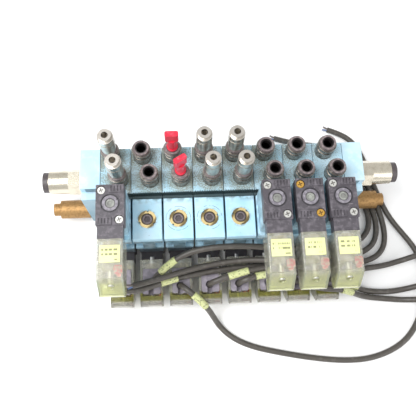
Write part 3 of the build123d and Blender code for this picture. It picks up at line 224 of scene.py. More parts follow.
lead_radius = 0.002
sleeve_radius = 0.00215
sleeve_wall = 0.00035
core_radius = 0.00055
core_stub = 0.0035
core_root = 0.001
core_bend = 0.0025
core_apart = 0.0008
core_spread = 0.0006
leads = {
    "upper_1": (0.3284, [(0.062, 0.074)], [
        (-0.0705, -0.0365, 0.0689), (-0.0705, -0.0365, 0.0575), (-0.0712, -0.0384, 0.046),
        (-0.0695, -0.0408, 0.035), (-0.0615, -0.0406, 0.0294), (-0.051, -0.0384, 0.03),
        (-0.04, -0.0346, 0.0274), (-0.0275, -0.031, 0.0244), (-0.014, -0.0288, 0.0234),
        (-0.001, -0.0272, 0.0232), (0.013, -0.026, 0.023), (0.028, -0.0252, 0.0229),
        (0.044, -0.025, 0.0229), (0.061, -0.0242, 0.0229), (0.0795, -0.0216, 0.0229),
        (0.089, -0.019, 0.0154), (0.098, -0.0162, 0.0066), (0.1054, -0.013, 0.0023),
        (0.1116, -0.0082, 0.0021), (0.1148, -0.0005, 0.0021), (0.1154, 0.008, 0.0021),
        (0.1139, 0.018, 0.0021), (0.1099, 0.0295, 0.0021), (0.1054, 0.0415, 0.0021),
        (0.1016, 0.053, 0.0021), (0.0932, 0.0616, 0.0021), (0.0805, 0.0634, 0.0021),
        (0.0685, 0.063, 0.0021),
    ]),
    "lower_2": (0.2747, [(0.02, 0.034)], [
        (-0.0505, -0.0365, 0.0162), (-0.0505, -0.0365, 0.0242), (-0.0476, -0.0324, 0.0284),
        (-0.041, -0.027, 0.0326), (-0.033, -0.0218, 0.0368), (-0.024, -0.018, 0.04),
        (-0.012, -0.016, 0.042), (0.002, -0.0153, 0.0426), (0.016, -0.0156, 0.0416),
        (0.031, -0.0163, 0.0386), (0.047, -0.0167, 0.034), (0.063, -0.0163, 0.0284),
        (0.077, -0.0142, 0.0206), (0.0885, -0.0112, 0.011), (0.0975, -0.0078, 0.004),
        (0.1046, -0.0032, 0.0021), (0.109, 0.0026, 0.0021), (0.1106, 0.01, 0.0021),
        (0.1092, 0.019, 0.0021), (0.1051, 0.03, 0.0021), (0.1005, 0.041, 0.0021),
        (0.0962, 0.051, 0.0021), (0.0883, 0.0568, 0.0021), (0.0775, 0.0578, 0.0021),
        (0.0665, 0.0572, 0.0021),
    ]),
    "lower_3": (0.3824, [(0.02, 0.033)], [
        (-0.0305, -0.0365, 0.0162), (-0.0305, -0.0365, 0.0242), (-0.0272, -0.0396, 0.028),
        (-0.0208, -0.045, 0.0274), (-0.0154, -0.0498, 0.0234), (-0.0112, -0.0538, 0.0156),
        (-0.008, -0.0578, 0.0074), (-0.0046, -0.0626, 0.0024), (0.0006, -0.0684, 0.0021),
        (0.0086, -0.074, 0.0021), (0.02, -0.0788, 0.0021), (0.038, -0.0832, 0.0021),
        (0.06, -0.0876, 0.0021), (0.081, -0.0902, 0.0021), (0.099, -0.0896, 0.0021),
        (0.1145, -0.085, 0.0021), (0.1266, -0.0778, 0.0021), (0.135, -0.068, 0.0021),
        (0.141, -0.0565, 0.0021), (0.1448, -0.044, 0.0021), (0.1462, -0.0315, 0.0021),
        (0.1448, -0.02, 0.0021), (0.14, -0.0096, 0.0021), (0.1338, -0.0006, 0.0021),
        (0.1278, 0.0082, 0.0021), (0.1231, 0.018, 0.0021), (0.1192, 0.0305, 0.0021),
        (0.1154, 0.0435, 0.0021), (0.1124, 0.056, 0.0021), (0.1088, 0.0666, 0.0021),
        (0.103, 0.0748, 0.0021), (0.095, 0.08, 0.0021), (0.0865, 0.0834, 0.0021),
    ]),
    "lower_4": (0.2875, [(0.022, 0.036)], [
        (-0.0105, -0.0365, 0.0162), (-0.0105, -0.0365, 0.0242), (-0.0064, -0.0356, 0.0282),
        (0.003, -0.0328, 0.029), (0.015, -0.0296, 0.0286), (0.028, -0.0272, 0.028),
        (0.0435, -0.0276, 0.0276), (0.06, -0.0276, 0.0271), (0.079, -0.0266, 0.0254),
        (0.0885, -0.025, 0.0176), (0.0975, -0.0229, 0.0086), (0.106, -0.0206, 0.0024),
        (0.1138, -0.0172, 0.0021), (0.119, -0.0108, 0.0021), (0.1209, -0.0026, 0.0021),
        (0.1206, 0.007, 0.0021), (0.1185, 0.018, 0.0021), (0.1146, 0.03, 0.0021),
        (0.1102, 0.0425, 0.0021), (0.1062, 0.055, 0.0021), (0.098, 0.0652, 0.0021),
        (0.084, 0.0692, 0.0021), (0.069, 0.0712, 0.0021), (0.0555, 0.0738, 0.0021),
        (0.0445, 0.0774, 0.0021),
    ]),
    "lower_5": (0.184, [(0.02, 0.029)], [
        (0.0095, -0.0365, 0.0162), (0.0095, -0.0365, 0.0242), (0.0138, -0.0354, 0.028),
        (0.0215, -0.033, 0.0274), (0.032, -0.0317, 0.026), (0.045, -0.0318, 0.025),
        (0.061, -0.0321, 0.0243), (0.0795, -0.0313, 0.0236), (0.0885, -0.0298, 0.0162),
        (0.0975, -0.0279, 0.0078), (0.106, -0.0261, 0.0026), (0.116, -0.025, 0.0021),
        (0.126, -0.0228, 0.0032), (0.1345, -0.0208, 0.0066), (0.1415, -0.0189, 0.0084),
        (0.1495, -0.0168, 0.0084), (0.1575, -0.0152, 0.005), (0.1655, -0.0136, 0.0021),
        (0.1735, -0.0126, 0.0021),
    ]),
    "lower_7": (0.1442, [(0.04, 0.052)], [
        (0.0495, -0.0365, 0.0162), (0.0495, -0.0365, 0.0242), (0.0528, -0.0388, 0.0278),
        (0.0595, -0.0418, 0.0266), (0.0685, -0.0433, 0.0249), (0.0795, -0.044, 0.0239),
        (0.0875, -0.0448, 0.0156), (0.094, -0.0458, 0.0078), (0.101, -0.0469, 0.0029),
        (0.1095, -0.048, 0.0021), (0.1185, -0.0491, 0.0021), (0.127, -0.0501, 0.0032),
        (0.134, -0.0507, 0.0066), (0.14, -0.051, 0.0084), (0.1485, -0.0509, 0.0084),
        (0.1565, -0.0504, 0.005), (0.1645, -0.0494, 0.0021), (0.1725, -0.0478, 0.0021),
    ]),
    "lower_8": (0.1275, [(0.03, 0.04)], [
        (0.0695, -0.0365, 0.0162), (0.0695, -0.0365, 0.0242), (0.0736, -0.0374, 0.028),
        (0.081, -0.0386, 0.0252), (0.0876, -0.0398, 0.0164), (0.094, -0.041, 0.0078),
        (0.1015, -0.0425, 0.0026), (0.11, -0.0436, 0.0021), (0.12, -0.0437, 0.0021),
        (0.1295, -0.0426, 0.0032), (0.137, -0.0414, 0.0066), (0.1425, -0.0404, 0.0084),
        (0.1505, -0.0388, 0.0084), (0.1585, -0.0368, 0.005), (0.1665, -0.0344, 0.0021),
        (0.174, -0.0316, 0.0021),
    ]),
    "upper_8": (0.1585, [], [
        (0.0695, -0.0365, 0.0689), (0.0695, -0.0365, 0.058), (0.0672, -0.0352, 0.0474),
        (0.059, -0.0318, 0.04), (0.0465, -0.0275, 0.0358), (0.0325, -0.0236, 0.0322),
        (0.018, -0.0223, 0.0296), (0.003, -0.0228, 0.0282), (-0.01, -0.0246, 0.0281),
        (-0.0225, -0.0271, 0.0292), (-0.035, -0.031, 0.0318), (-0.048, -0.0348, 0.0348),
        (-0.0615, -0.038, 0.0356),
    ]),
}
for name, (length, sleeves, route) in leads.items():
    data = bpy.data.curves.new("lead_" + name, "CURVE")
    data.dimensions = "3D"
    data.resolution_u = 10
    spline = data.splines.new("NURBS")
    spline.points.add(len(route) - 1)
    for point, place in zip(spline.points, route):
        point.co = (*place, 1.0)
    spline.order_u = 3
    spline.use_endpoint_u = True
    lead = bpy.data.objects.new("lead_" + name, data)
    bpy.context.scene.collection.objects.link(lead)
    # the bare line is read before the jacket is put round it
    bare = bpy.data.meshes.new_from_object(lead)
    line = [vertex.co.copy() for vertex in bare.vertices]
    bpy.data.meshes.remove(bare)
    data.bevel_depth = lead_radius
    data.bevel_resolution = 6
    data.use_fill_caps = True
    data.materials.append(jacket.material)
    for count, (start, end) in enumerate(sleeves):
        tube_along(
            f"sleeve_{name}_{count + 1}", stretch_of(line, start, end),
            sleeve_radius, sleeve_wall, sleeve_finish,
        )
    tip = line[-1]
    onward = (tip - line[-3]).normalized()
    aside = onward.cross(Vector((0, 0, 1))).normalized()
    for word, side, finish in (("blue", -1, blue_core), ("brown", 1, brown_core)):
        root = tip - onward * core_root + aside * side * core_apart
        stub = [root, root + onward * core_bend,
                root + onward * (core_root + core_stub) + aside * side * core_spread]
        tube_along(f"core_{word}_{name}", stub, core_radius, 0, finish)
    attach(lead, "bank")
    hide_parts("cable_" + name)


# ---------------------------------------------------------------- base
# Eight machined aluminium bases bolted side by side, painted light blue. The
# top is speckled with greenish-brown oil dirt, thickest round the fittings and
# along the seams. The ribbed step under its edge is painted nearly black, partly
# as oil dirt and partly as painted shade under the edge.
pitch = 0.02
stations = range(1, 9)
single_stations = range(2, 6)
double_stations = (1, 6, 7, 8)
front_port = (0.00236, 0.0277)
back_port = (-0.00236, 0.0438)
paint_light, paint_deep = tint("BEDBEA"), tint("9CCBE0")
dirt_brown, step_dirt_and_shade = tint("6E6A52"), tint("23332F")


def blue_paint(name):
    """Blue enamel with faint clouds, rubbed spots and orange peel, and its colour."""
    finish = Finish(name, {"IOR": 1.5})
    clouds = finish.noise(0.016, 3.0).ease(0.25, 0.80)
    colour = finish.mix(clouds, paint_light, paint_deep)
    rubbed = finish.noise(0.0022, 5.0).ease(0.66, 0.72)
    colour = finish.mix(rubbed * 0.45, colour, tint("CDD6D6"))
    specks = finish.noise(0.0009, 2.0).ease(0.70, 0.76)
    colour = finish.mix(specks * 0.6, colour, tint("4C5F60"))
    finish.put("Roughness", 0.36 + clouds * 0.12 + rubbed * 0.2)
    finish.bump(finish.noise(0.0008, 3.0) * 0.6 + rubbed * 0.4, 0.00006)
    return finish, colour


def off_centre(finish):
    """Distance in X from the middle of the station, left negative."""
    # ten whole pitches keep X positive before the remainder is taken
    return (finish.x + 10 * pitch) % pitch - pitch / 2


def ring_distance(finish, across, place):
    """Distance from an upright axis that repeats at every station."""
    dx, dy = across - place[0], finish.y - place[1]
    return (dx * dx + dy * dy).maths("POWER", 0.5)


base_finish, base_colour = blue_paint("base_paint")
across = off_centre(base_finish)
near_port = ring_distance(base_finish, across, front_port).lesser(
    ring_distance(base_finish, across, back_port))
on_top = base_finish.z.ease(0.0568, 0.0573)
left_side = base_finish.x.ease(0.070, 0.020) * 0.6 + 0.4
halo = near_port.ease(0.0150, 0.0062)
seam_dirt = abs(across).ease(0.0070, 0.0099)
thickness = (halo * 0.22 + seam_dirt * 0.12) * left_side + base_finish.noise(0.006, 4.0) * 0.2
speckle = (base_finish.noise(0.0006, 3.0) + thickness).ease(0.70, 0.86) * on_top
base_colour = base_finish.mix(halo * left_side * on_top * 0.3, base_colour, tint("A3AA98"))
base_colour = base_finish.mix(speckle * 0.8, base_colour, dirt_brown)
# painted shade with oil dirt: the front of the ribbed step is darkened nearly black
on_step = (base_finish.y.ease(0.0196, 0.0188)
           * base_finish.z.ease(0.0496, 0.0506) * base_finish.z.ease(0.0574, 0.0570))
base_colour = base_finish.mix(on_step * 0.9, base_colour, step_dirt_and_shade)
# painted shade: darker teal towards the bottom, in patches
base_low_shade = base_finish.z.ease(0.050, 0.030) * base_finish.noise(0.006, 4.0).ease(0.35, 0.65)
base_colour = base_finish.mix(base_low_shade * 0.35, base_colour, tint("3E6A7C"))
base_finish.put("Base Color", base_colour)
dress(base_finish, "station_bases")

# ---------------------------------------------------------------- end plates
# One blue end plate at each end, painted lighter than the bases all over and more
# in patches, as a painted highlight. They carry the supply fittings and the silencers.
end_finish, end_colour = blue_paint("end_plate_paint")
# painted highlight: the paint is lightened all over, more in patches
end_highlight_patches = end_finish.noise(0.005, 5.0).ease(0.50, 0.70)
# painted shade: darker teal towards the bottom
end_low_shade = end_finish.z.ease(0.050, 0.020)
end_colour = end_finish.mix(end_highlight_patches * 0.3 + 0.25, end_colour, tint("D8E8EE"))
end_colour = end_finish.mix(end_low_shade * 0.4, end_colour, tint("4A8FA8"))
# painted shade: the step's front face is darkened nearly black, and the lower front face darker
# teal
end_step_face_shade = (end_finish.y.ease(0.0229, 0.0224) * end_finish.z.ease(0.0504, 0.0508)
                 * end_finish.z.ease(0.0570, 0.0566) * abs(end_finish.x).ease(0.0905, 0.0895))
end_front_shade = end_finish.y.ease(0.0174, 0.0171)
end_colour = end_finish.mix(end_step_face_shade * 0.85, end_colour, tint("2B4652"))
end_colour = end_finish.mix(end_front_shade * 0.45, end_colour, tint("45707F"))
end_finish.put("Base Color", end_colour)
dress(end_finish, "end_plate_left", "end_plate_right")

# ---------------------------------------------------------------- seals, rods
# Black nitrile rings and face gaskets, which show as thin dark lines, and the
# zinc-plated rods and screws that pull the bank together.
rubber = Finish("nitrile", {"IOR": 1.52})
rubber.put("Base Color", rubber.mix(rubber.noise(0.002), tint("1B1D1E"), tint("3A3C3A")))
rubber.put("Roughness", 0.6 + rubber.noise(0.001) * 0.25)
rubber.bump(rubber.noise(0.0005), 0.00004)
dress(rubber, "gaskets")


def plated(name, clean, dull, rough, stained=0.6):
    """Plated metal with stains and fine turning marks."""
    finish = Finish(name, {"Metallic": 1.0})
    stain = finish.noise(0.0030, 5.0).ease(0.42, 0.78) * stained
    finish.put("Base Color", finish.mix(stain, tint(clean), tint(dull)))
    finish.put("Roughness", rough + stain * 0.2 + finish.noise(0.0006) * 0.05)
    finish.bump(finish.noise(0.0004, 2.0), 0.000008)
    return finish


zinc = plated("zinc_plate", "C9CACB", "7F7C76", 0.28)
dress(zinc, "tie_rods", "valve_screws", "pole_tubes")

# ---------------------------------------------------------------- valves
# Blue valve bodies bolted to the base's face, with a screw recess each side.
# Their fronts are painted darker as shade under the coils, and random patches are darkened as dust.
valve_finish, valve_colour = blue_paint("valve_paint")
dusty = valve_finish.noise(0.004, 5.0).ease(0.40, 0.64)
# painted shade: the front faces are darkened
valve_front_shade = valve_finish.y.ease(-0.0112, -0.0119)
valve_colour = valve_finish.mix(dusty * 0.5, valve_colour, tint("35505A"))
valve_colour = valve_finish.mix(valve_front_shade * 0.55, valve_colour, tint("1E2E36"))
valve_finish.put("Base Color", valve_colour)
dress(valve_finish, "valve_bodies")

# the spools, springs and plungers inside are ground aluminium and bright steel
ground = plated("ground_aluminium", "D6D8DA", "A5A7AA", 0.2)
dress(ground, "armatures", *[f"spool_{n}" for n in stations],
      *[f"return_spring_{n}" for n in single_stations])

# ---------------------------------------------------------------- caps
# Blue caps over the four single valves. Each has a brass ring nicked for a pin
# spanner round a hexagon-socket plug, and two caps show a scribed circle.
cap_axis = (0.0, 0.0012)
cap_finish, cap_colour = blue_paint("cap_paint")
cap_across = off_centre(cap_finish)
from_ring = ring_distance(cap_finish, cap_across, cap_axis)
scribed = abs(from_ring - 0.0079).ease(0.00022, 0.00008) * cap_finish.noise(0.003).ease(0.42, 0.52)
middle_caps = abs(cap_finish.x + 0.020).ease(0.0205, 0.0200)
cap_colour = cap_finish.mix(scribed * middle_caps * 0.8, cap_colour, tint("2E4A55"))
ring_oil = from_ring.ease(0.0075, 0.0056) * cap_finish.noise(0.0015, 4.0).ease(0.40, 0.62)
cap_colour = cap_finish.mix(ring_oil * 0.55, cap_colour, tint("5F6A58"))
back_edge = cap_finish.y.ease(0.0105, 0.0150) * cap_finish.noise(0.003, 5.0).ease(0.38, 0.60)
cap_colour = cap_finish.mix(back_edge * 0.6, cap_colour, tint("4C5B50"))
cap_finish.put("Base Color", cap_colour)
dress(cap_finish, "end_caps")

brass = Finish("brass_ring", {"Metallic": 0.8})
ring_across = off_centre(brass)
from_axis = ring_distance(brass, ring_across, cap_axis)
shade_side = abs(ring_across * 0.8 - (brass.y - cap_axis[1]) * 0.6).ease(0.0030, 0.0044)
gap_line = from_axis.ease(0.0041, 0.0038)
tarnish = brass.noise(0.0018, 5.0).ease(0.40, 0.66)
brass_colour = brass.mix(tarnish * 0.5, tint("F3DDA4"), tint("A08248"))
brass_colour = brass.mix(shade_side * 0.75, brass_colour, tint("2E2414"))
brass.put("Base Color", brass.mix(gap_line * 0.85, brass_colour, tint("2A2118")))
brass.put("Roughness", 0.22 + tarnish * 0.2)
brass.bump(brass.noise(0.0005), 0.00001)
dress(brass, "cap_rings")
plug_steel = Finish("blackened_plug", {"Metallic": 0.6})
plug_distance = ring_distance(plug_steel, off_centre(plug_steel), cap_axis)
# painted shade: the hexagon socket is darker below the plug's face
socket = plug_steel.z.ease(0.0556, 0.0552)
plug_tone = plug_steel.mix(plug_steel.noise(0.001, 4.0), tint("8F8688"), tint("5C5355"))
plug_tone = plug_steel.mix(socket * 0.6, plug_tone, tint("2E2A2C"))
plug_rim = plug_distance.ease(0.0026, 0.0034)
plug_steel.put("Base Color", plug_steel.mix(plug_rim * 0.8, plug_tone, tint("2A2628")))
plug_steel.put("Roughness", 0.40 + plug_steel.noise(0.001) * 0.15)
plug_steel.bump(plug_steel.noise(0.0005), 0.00002)
dress(plug_steel, "cap_plugs")

# ---------------------------------------------------------------- adaptors
# Blue blocks that lead pilot air from the valves to the operators.
adaptor_finish, adaptor_colour = blue_paint("adaptor_paint")
adaptor_shade = adaptor_finish.noise(0.005, 4.0).ease(0.35, 0.60)
# painted shade: nearly black low down, under the coils
adaptor_low_shade = adaptor_finish.z.ease(0.034, 0.026)
adaptor_colour = adaptor_finish.mix(adaptor_shade * 0.45, adaptor_colour, tint("45626C"))
adaptor_colour = adaptor_finish.mix(adaptor_low_shade * 0.75, adaptor_colour, tint("3B3840"))
adaptor_finish.put("Base Color", adaptor_colour)
dress(adaptor_finish, "pilot_adaptors")

# ---------------------------------------------------------------- operators
# Pilot blocks, override rings and connectors moulded in a glass-filled nylon
# that has greyed to mauve, with pale rubbed edges and a fine moulded grain.
def grey_nylon(name, dark, pale, shaded=0.0):
    finish = Finish(name, {"IOR": 1.53})
    worn = finish.noise(0.0035, 5.0).ease(0.45, 0.70)
    dust = finish.noise(0.0010, 3.0).ease(0.62, 0.74)
    colour = finish.mix(worn * 0.7, tint(dark), tint(pale))
    colour = finish.mix(dust * 0.4, colour, tint("ABA3A8"))
    # painted shade: below the middle height the lower blocks darken to nearly black
    if shaded:
        colour = finish.mix(finish.z.ease(0.0440, 0.0420) * shaded, colour, tint("15121A"))
    finish.put("Base Color", colour)
    finish.put("Roughness", 0.42 + worn * 0.2)
    finish.bump(finish.noise(0.0004, 3.0) + dust * 0.3, 0.00007)
    return finish


dress(grey_nylon("operator_nylon", "48444A", "6E6970", 0.85), "operator_blocks")
dress(grey_nylon("connector_nylon", "7C7680", "A09AA4"), "connector_plugs")
ring_finish = Finish("override_nylon", {"IOR": 1.53})
override_axis = (0.0, 0.004)
override_distance = ring_distance(ring_finish, off_centre(ring_finish), override_axis)
outline = override_distance.ease(0.00475, 0.00490) + override_distance.ease(0.0032, 0.0029)
ring_worn = ring_finish.noise(0.002, 4.0).ease(0.42, 0.68)
ring_colour = ring_finish.mix(ring_worn * 0.6, tint("6E6A72"), tint("9A969E"))
ring_finish.put("Base Color", ring_finish.mix(outline * 0.85, ring_colour, tint("1E1C20")))
ring_finish.put("Roughness", 0.36 + ring_worn * 0.2)
ring_finish.bump(ring_finish.noise(0.0005), 0.00004)
dress(ring_finish, "override_rings")
dress(grey_nylon("button_nylon", "7B7C78", "A3A79F"),
      *[f"override_lower_{n}" for n in stations],
      *[f"override_upper_{n}" for n in double_stations])

# cross-head screws: bright zinc, and yellow passivated on the seventh station
screw_finish = Finish("operator_screw_plate", {"Metallic": 0.7})
seventh = abs(screw_finish.x - 0.050).ease(0.0101, 0.0099)
plate_colour = screw_finish.mix(seventh, tint("D2D2CE"), tint("CFA24A"))
screw_stain = screw_finish.noise(0.0015, 4.0).ease(0.48, 0.70)
plate_colour = screw_finish.mix(screw_stain * 0.5, plate_colour, tint("827B6E"))
# painted shade: the cross recesses are darker below the screw heads' faces
cross_recess_shade = abs(screw_finish.z - 0.04255).ease(0.04115, 0.04100)
screw_finish.put("Base Color", screw_finish.mix(cross_recess_shade * 0.6, plate_colour, tint("4A4642")))
screw_finish.put("Roughness", 0.42 + screw_stain * 0.2)
screw_finish.bump(screw_finish.noise(0.0005), 0.00003)
dress(screw_finish, "operator_screws")

# ---------------------------------------------------------------- coils
# Windings on bobbins, taped and varnished; they show dimly through the covers.
winding = Finish("varnished_winding", {"IOR": 1.5})
turns_per_metre = 380.0
turns = winding.node(
    "ShaderNodeTexWave", {"bands_direction": "Y"},
    {"Vector": winding.place, "Scale": turns_per_metre, "Distortion": 0.6})
varnish = turns * 0.5 + winding.noise(0.003) * 0.4
winding.put("Base Color", winding.mix(varnish, tint("D8D2C0"), tint("9C927C")))
winding.put("Roughness", 0.35 + winding.noise(0.001) * 0.2)
winding.bump(turns, 0.00012)
dress(winding, "solenoid_coils")

lamp_finish = Finish("lamp_lens", {"Transmission Weight": 0.35, "Emission Strength": 0.15})
for lens_socket in ("Base Color", "Emission Color"):
    lens_colour = lamp_finish.mix(lamp_finish.noise(0.001), tint("F0605C"), tint("F4A09A"))
    lamp_finish.put(lens_socket, lens_colour)
lamp_finish.put("Roughness", 0.25 + lamp_finish.noise(0.001) * 0.1)
lamp_finish.bump(lamp_finish.noise(0.0006), 0.00003)
dress(lamp_finish, "indicator_lamps")

# ---------------------------------------------------------------- covers
# Clear polycarbonate covers, gone hazy and yellow-green with age, most of all
# in the thick slanted nose and round the lower connectors.
cover_finish = Finish("aged_cover", {"Transmission Weight": 0.8, "IOR": 1.45, "Coat Weight": 0.2})
haze = cover_finish.noise(0.004, 4.0).ease(0.35, 0.70)
nose = cover_finish.y.ease(-0.0400, -0.0445)
low_cover = cover_finish.z.ease(0.030, 0.022)
cover_colour = cover_finish.mix(haze, tint("F8F7EE"), tint("E4E4D0"))
cover_colour = cover_finish.mix(nose * 0.7, cover_colour, tint("DCE09C"))
nose_band = cover_finish.y.ease(-0.0400, -0.0415) * cover_finish.y.ease(-0.0472, -0.0450)
cover_colour = cover_finish.mix(low_cover * nose, cover_colour, tint("CFCDC6"))
cover_colour = cover_finish.mix(low_cover * nose_band * 0.9, cover_colour, tint("A8A646"))
cover_finish.put("Base Color", cover_colour)
cover_finish.put("Roughness", 0.12 + haze * 0.15)
cover_finish.bump(cover_finish.noise(0.0018, 3.0), 0.00003)
dress(cover_finish, "coil_covers")


# ---------------------------------------------------------------- labels
# A pale yellow data label stuck on each cover, with two rows of small print,
# here only plain dashes, and a pink-red patch over the indicator lamp.
cover_face = 0.0847
operator_height = 0.0851
middle_station = 4.5
turned_over = Matrix.Translation((0, 0, operator_height)) @ Matrix.Diagonal((1, 1, -1, 1))
label_middle, label_size = (0.0, -0.0267), (0.0120, 0.0103)
patch_middle, patch_size = (0.0048, -0.0361), (0.0050, 0.0054)
label_corner, patch_corner = 0.0004, 0.0012
sticker_thickness = 0.00014


def sticker(name, middle, size, corner):
    """A thin sheet with rounded corners and a softened top edge, lying on a cover at X = 0."""
    bpy.ops.object.select_all(action="DESELECT")
    bpy.ops.mesh.primitive_cube_add(size=1, location=(*middle, cover_face + sticker_thickness / 2))
    piece = bpy.context.active_object
    piece.name = name
    piece.scale = (*size, sticker_thickness)
    bpy.ops.object.transform_apply(location=True, rotation=True, scale=True)
    bpy.ops.object.mode_set(mode="EDIT")
    bpy.ops.mesh.select_mode(type="EDGE")
    bpy.ops.mesh.select_all(action="DESELECT")
    bpy.ops.object.mode_set(mode="OBJECT")
    points = piece.data.vertices
    for line in piece.data.edges:
        low, high = (points[number].co for number in line.vertices)
        line.select = abs(low.z - high.z) > sticker_thickness / 2
    bpy.ops.object.mode_set(mode="EDIT")
    bpy.ops.mesh.bevel(offset=corner, segments=4)
    bpy.ops.object.mode_set(mode="OBJECT")
    soft = piece.modifiers.new("soft edge", "BEVEL")
    soft.width, soft.segments, soft.limit_method = sticker_thickness * 0.35, 2, "ANGLE"
    bpy.ops.object.modifier_apply(modifier=soft.name)
    return piece


def repeat_on_operators(piece, finish):
    """One copy of a piece on each upper operator and, turned over, on each lower one, joined."""
    copies = []
    for number in stations:
        for upper in ((True, False) if number in double_stations else (False,)):
            one = piece.copy()
            one.data = piece.data.copy()
            bpy.context.scene.collection.objects.link(one)
            shift = Matrix.Translation(((number - middle_station) * pitch, 0, 0))
            one.data.transform(shift if upper else shift @ turned_over)
            if not upper:
                one.data.flip_normals()
            copies.append(one)
    name = piece.name
    bpy.data.objects.remove(piece)
    bpy.ops.object.select_all(action="DESELECT")
    for one in copies:
        one.select_set(True)
    bpy.context.view_layer.objects.active = copies[0]
    bpy.ops.object.join()
    whole = bpy.context.active_object
    whole.name = name
    whole.data.materials.clear()
    whole.data.materials.append(finish.material)
    bpy.ops.object.shade_smooth_by_angle(angle=math.radians(35))
    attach(whole, "bank")
    return whole


label_finish = Finish("label_paper", {"IOR": 1.45})
label_across = off_centre(label_finish)
rows = (abs(label_finish.y + 0.0243).ease(0.0007, 0.0005)
        + abs(label_finish.y + 0.0270).ease(0.0007, 0.0005)
        + abs(label_finish.y + 0.0302).ease(0.0005, 0.0003) * label_across.ease(0.0020, 0.0022))
dashes = label_finish.noise(0.0010, 1.0, (1.0, 0.05, 0.05)).ease(0.50, 0.54)
print_share = rows.lesser(1.0) * dashes * abs(label_across).ease(0.0052, 0.0050)
paper = label_finish.mix(label_finish.noise(0.004, 3.0), tint("E3E6AC"), tint("CFD392"))
label_finish.put("Base Color", label_finish.mix(print_share * 0.8, paper, tint("5A5C44")))
label_finish.put("Roughness", 0.45 + label_finish.noise(0.002) * 0.2)
label_finish.bump(label_finish.noise(0.0010), 0.00003)
repeat_on_operators(
    sticker("data_labels", label_middle, label_size, label_corner), label_finish)

patch_finish = Finish("lamp_patch", {"IOR": 1.45, "Transmission Weight": 0.5})
patch_faded = patch_finish.noise(0.0018, 4.0).ease(0.35, 0.65)
patch_finish.put("Base Color", patch_finish.mix(patch_faded, tint("E0A29A"), tint("DDD2BE")))
patch_finish.put("Roughness", 0.35 + patch_finish.noise(0.001) * 0.2)
patch_finish.bump(patch_finish.noise(0.0008), 0.00003)
repeat_on_operators(
    sticker("lamp_patches", patch_middle, patch_size, patch_corner), patch_finish)

# ---------------------------------------------------------------- port fittings
# Push-in fittings in blackened nickel with mauve-brown release collars, dirty
# round the foot. Reducers of bright nickel stand in three pairs of them.
port_finish = Finish("dark_nickel_plate", {"Metallic": 0.9})
port_stain = port_finish.noise(0.0025, 5.0).ease(0.40, 0.72)
port_axis_distance = ring_distance(port_finish, off_centre(port_finish), front_port).lesser(
    ring_distance(port_finish, off_centre(port_finish), back_port))
port_colour = port_finish.mix(port_stain * 0.8, tint("9B9690"), tint("454039"))
grime = port_finish.z.ease(0.0615, 0.0580) * port_finish.noise(0.001, 3.0).ease(0.35, 0.60)
port_colour = port_finish.mix(grime * 0.8, port_colour, tint("3E3B2C"))
# painted shade: the bore inside each fitting is painted nearly black
port_colour = port_finish.mix(port_axis_distance.ease(0.0044, 0.0041), port_colour, tint("060505"))
port_finish.put("Base Color", port_colour)
port_finish.put("Roughness", 0.26 + port_stain * 0.2)
port_finish.bump(port_finish.noise(0.0005), 0.00001)
dress(port_finish, "port_fittings")

collar_finish = Finish("collar_acetal", {"IOR": 1.48})
collar_worn = collar_finish.noise(0.0018, 4.0).ease(0.42, 0.68)
end_collar = abs(collar_finish.x).ease(0.100, 0.105)
collar_colour = collar_finish.mix(collar_worn, tint("6A6061"), tint("8C8080"))
# painted shade: the mouth of each collar is painted nearly black
collar_mouth_shade = ring_distance(collar_finish, off_centre(collar_finish), front_port).lesser(
    ring_distance(collar_finish, off_centre(collar_finish), back_port)).ease(0.0039, 0.0037)
collar_colour = collar_finish.mix(collar_mouth_shade * 0.95, collar_colour, tint("0E0C0D"))
collar_finish.put("Base Color", collar_finish.mix(end_collar * 0.8, collar_colour, tint("3B3739")))
collar_finish.put("Roughness", 0.38 + collar_worn * 0.2)
collar_finish.bump(collar_finish.noise(0.0007), 0.00004)
dress(collar_finish, "port_collars")

dress(plated("bright_nickel_plate", "DAD5CD", "8F887C", 0.26, 0.5), "reducers")

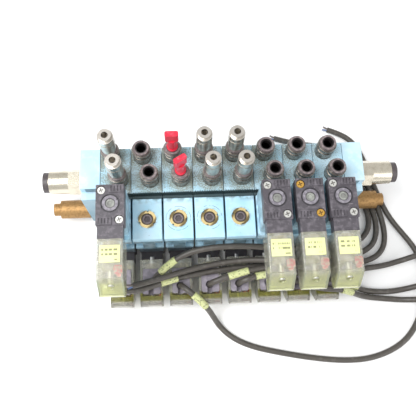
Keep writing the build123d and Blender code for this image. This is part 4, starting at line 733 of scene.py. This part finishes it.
# ---------------------------------------------------------------- red plugs
# Moulded red plugs with a flat pull handle, pushed into the third station.
plug_finish = Finish("red_moulding", {"IOR": 1.49, "Coat Weight": 0.25})
plug_worn = plug_finish.noise(0.003, 4.0).ease(0.50, 0.75)
plug_finish.put("Base Color", plug_finish.mix(plug_worn * 0.6, tint("D0213C"), tint("E8707A")))
plug_finish.put("Roughness", 0.34 + plug_worn * 0.18)
plug_finish.bump(plug_finish.noise(0.0008, 2.0), 0.00005)
dress(plug_finish, "port_plug_front", "port_plug_back")

# ---------------------------------------------------------------- end fittings
# Nickel-plated push-in supply fittings, and silencers of sintered bronze whose
# fused beads give a coarse grainy skin.
dress(plated("supply_nickel_plate", "DCD5C4", "938A74", 0.22, 0.35), "supply_fittings")

bronze = Finish("sintered_bronze", {"Metallic": 0.75})
beads = bronze.node("ShaderNodeTexVoronoi", {}, {"Vector": bronze.place, "Scale": 1 / 0.0005})
bronze_stain = bronze.noise(0.0015, 5.0).ease(0.40, 0.80)
bronze.put("Base Color", bronze.mix(bronze_stain * 0.7, tint("B18C5C"), tint("7C6142")))
bronze.put("Roughness", 0.50 + bronze_stain * 0.2)
bronze.bump(1.0 - beads, 0.00008)
dress(bronze, "silencers")

# ---------------------------------------------------------------- studio
# Plain pale table, one large soft light high at the left and a weaker fill.
bpy.ops.object.select_all(action="DESELECT")
bpy.ops.mesh.primitive_plane_add(size=6, location=(0, 0, 0))
table = bpy.context.active_object
table.name = "table"
table_finish = Finish("table_paper", {"Roughness": 0.75})
table_tone = table_finish.mix(table_finish.noise(0.05), tint("F6F6F6"), tint("F2F2F2"))
table_finish.put("Base Color", table_tone)
table.data.materials.append(table_finish.material)


def soft_light(name, place, size, power):
    light = bpy.data.objects.new(name, bpy.data.lights.new(name, "AREA"))
    light.data.size, light.data.energy = size, power
    light.location = place
    light.rotation_euler = (-Vector(place)).to_track_quat("-Z", "Y").to_euler()
    bpy.context.scene.collection.objects.link(light)


soft_light("key", (-0.45, -0.10, 0.80), 0.60, 9.0)
soft_light("fill", (0.70, -0.60, 0.60), 0.80, 4.0)
world = bpy.data.worlds.new("studio")
bpy.context.scene.world = world
world.use_nodes = True
world.node_tree.nodes["Background"].inputs["Color"].default_value = (1, 1, 1, 1)
world.node_tree.nodes["Background"].inputs["Strength"].default_value = 0.75
bpy.context.scene.view_settings.view_transform = "Standard"
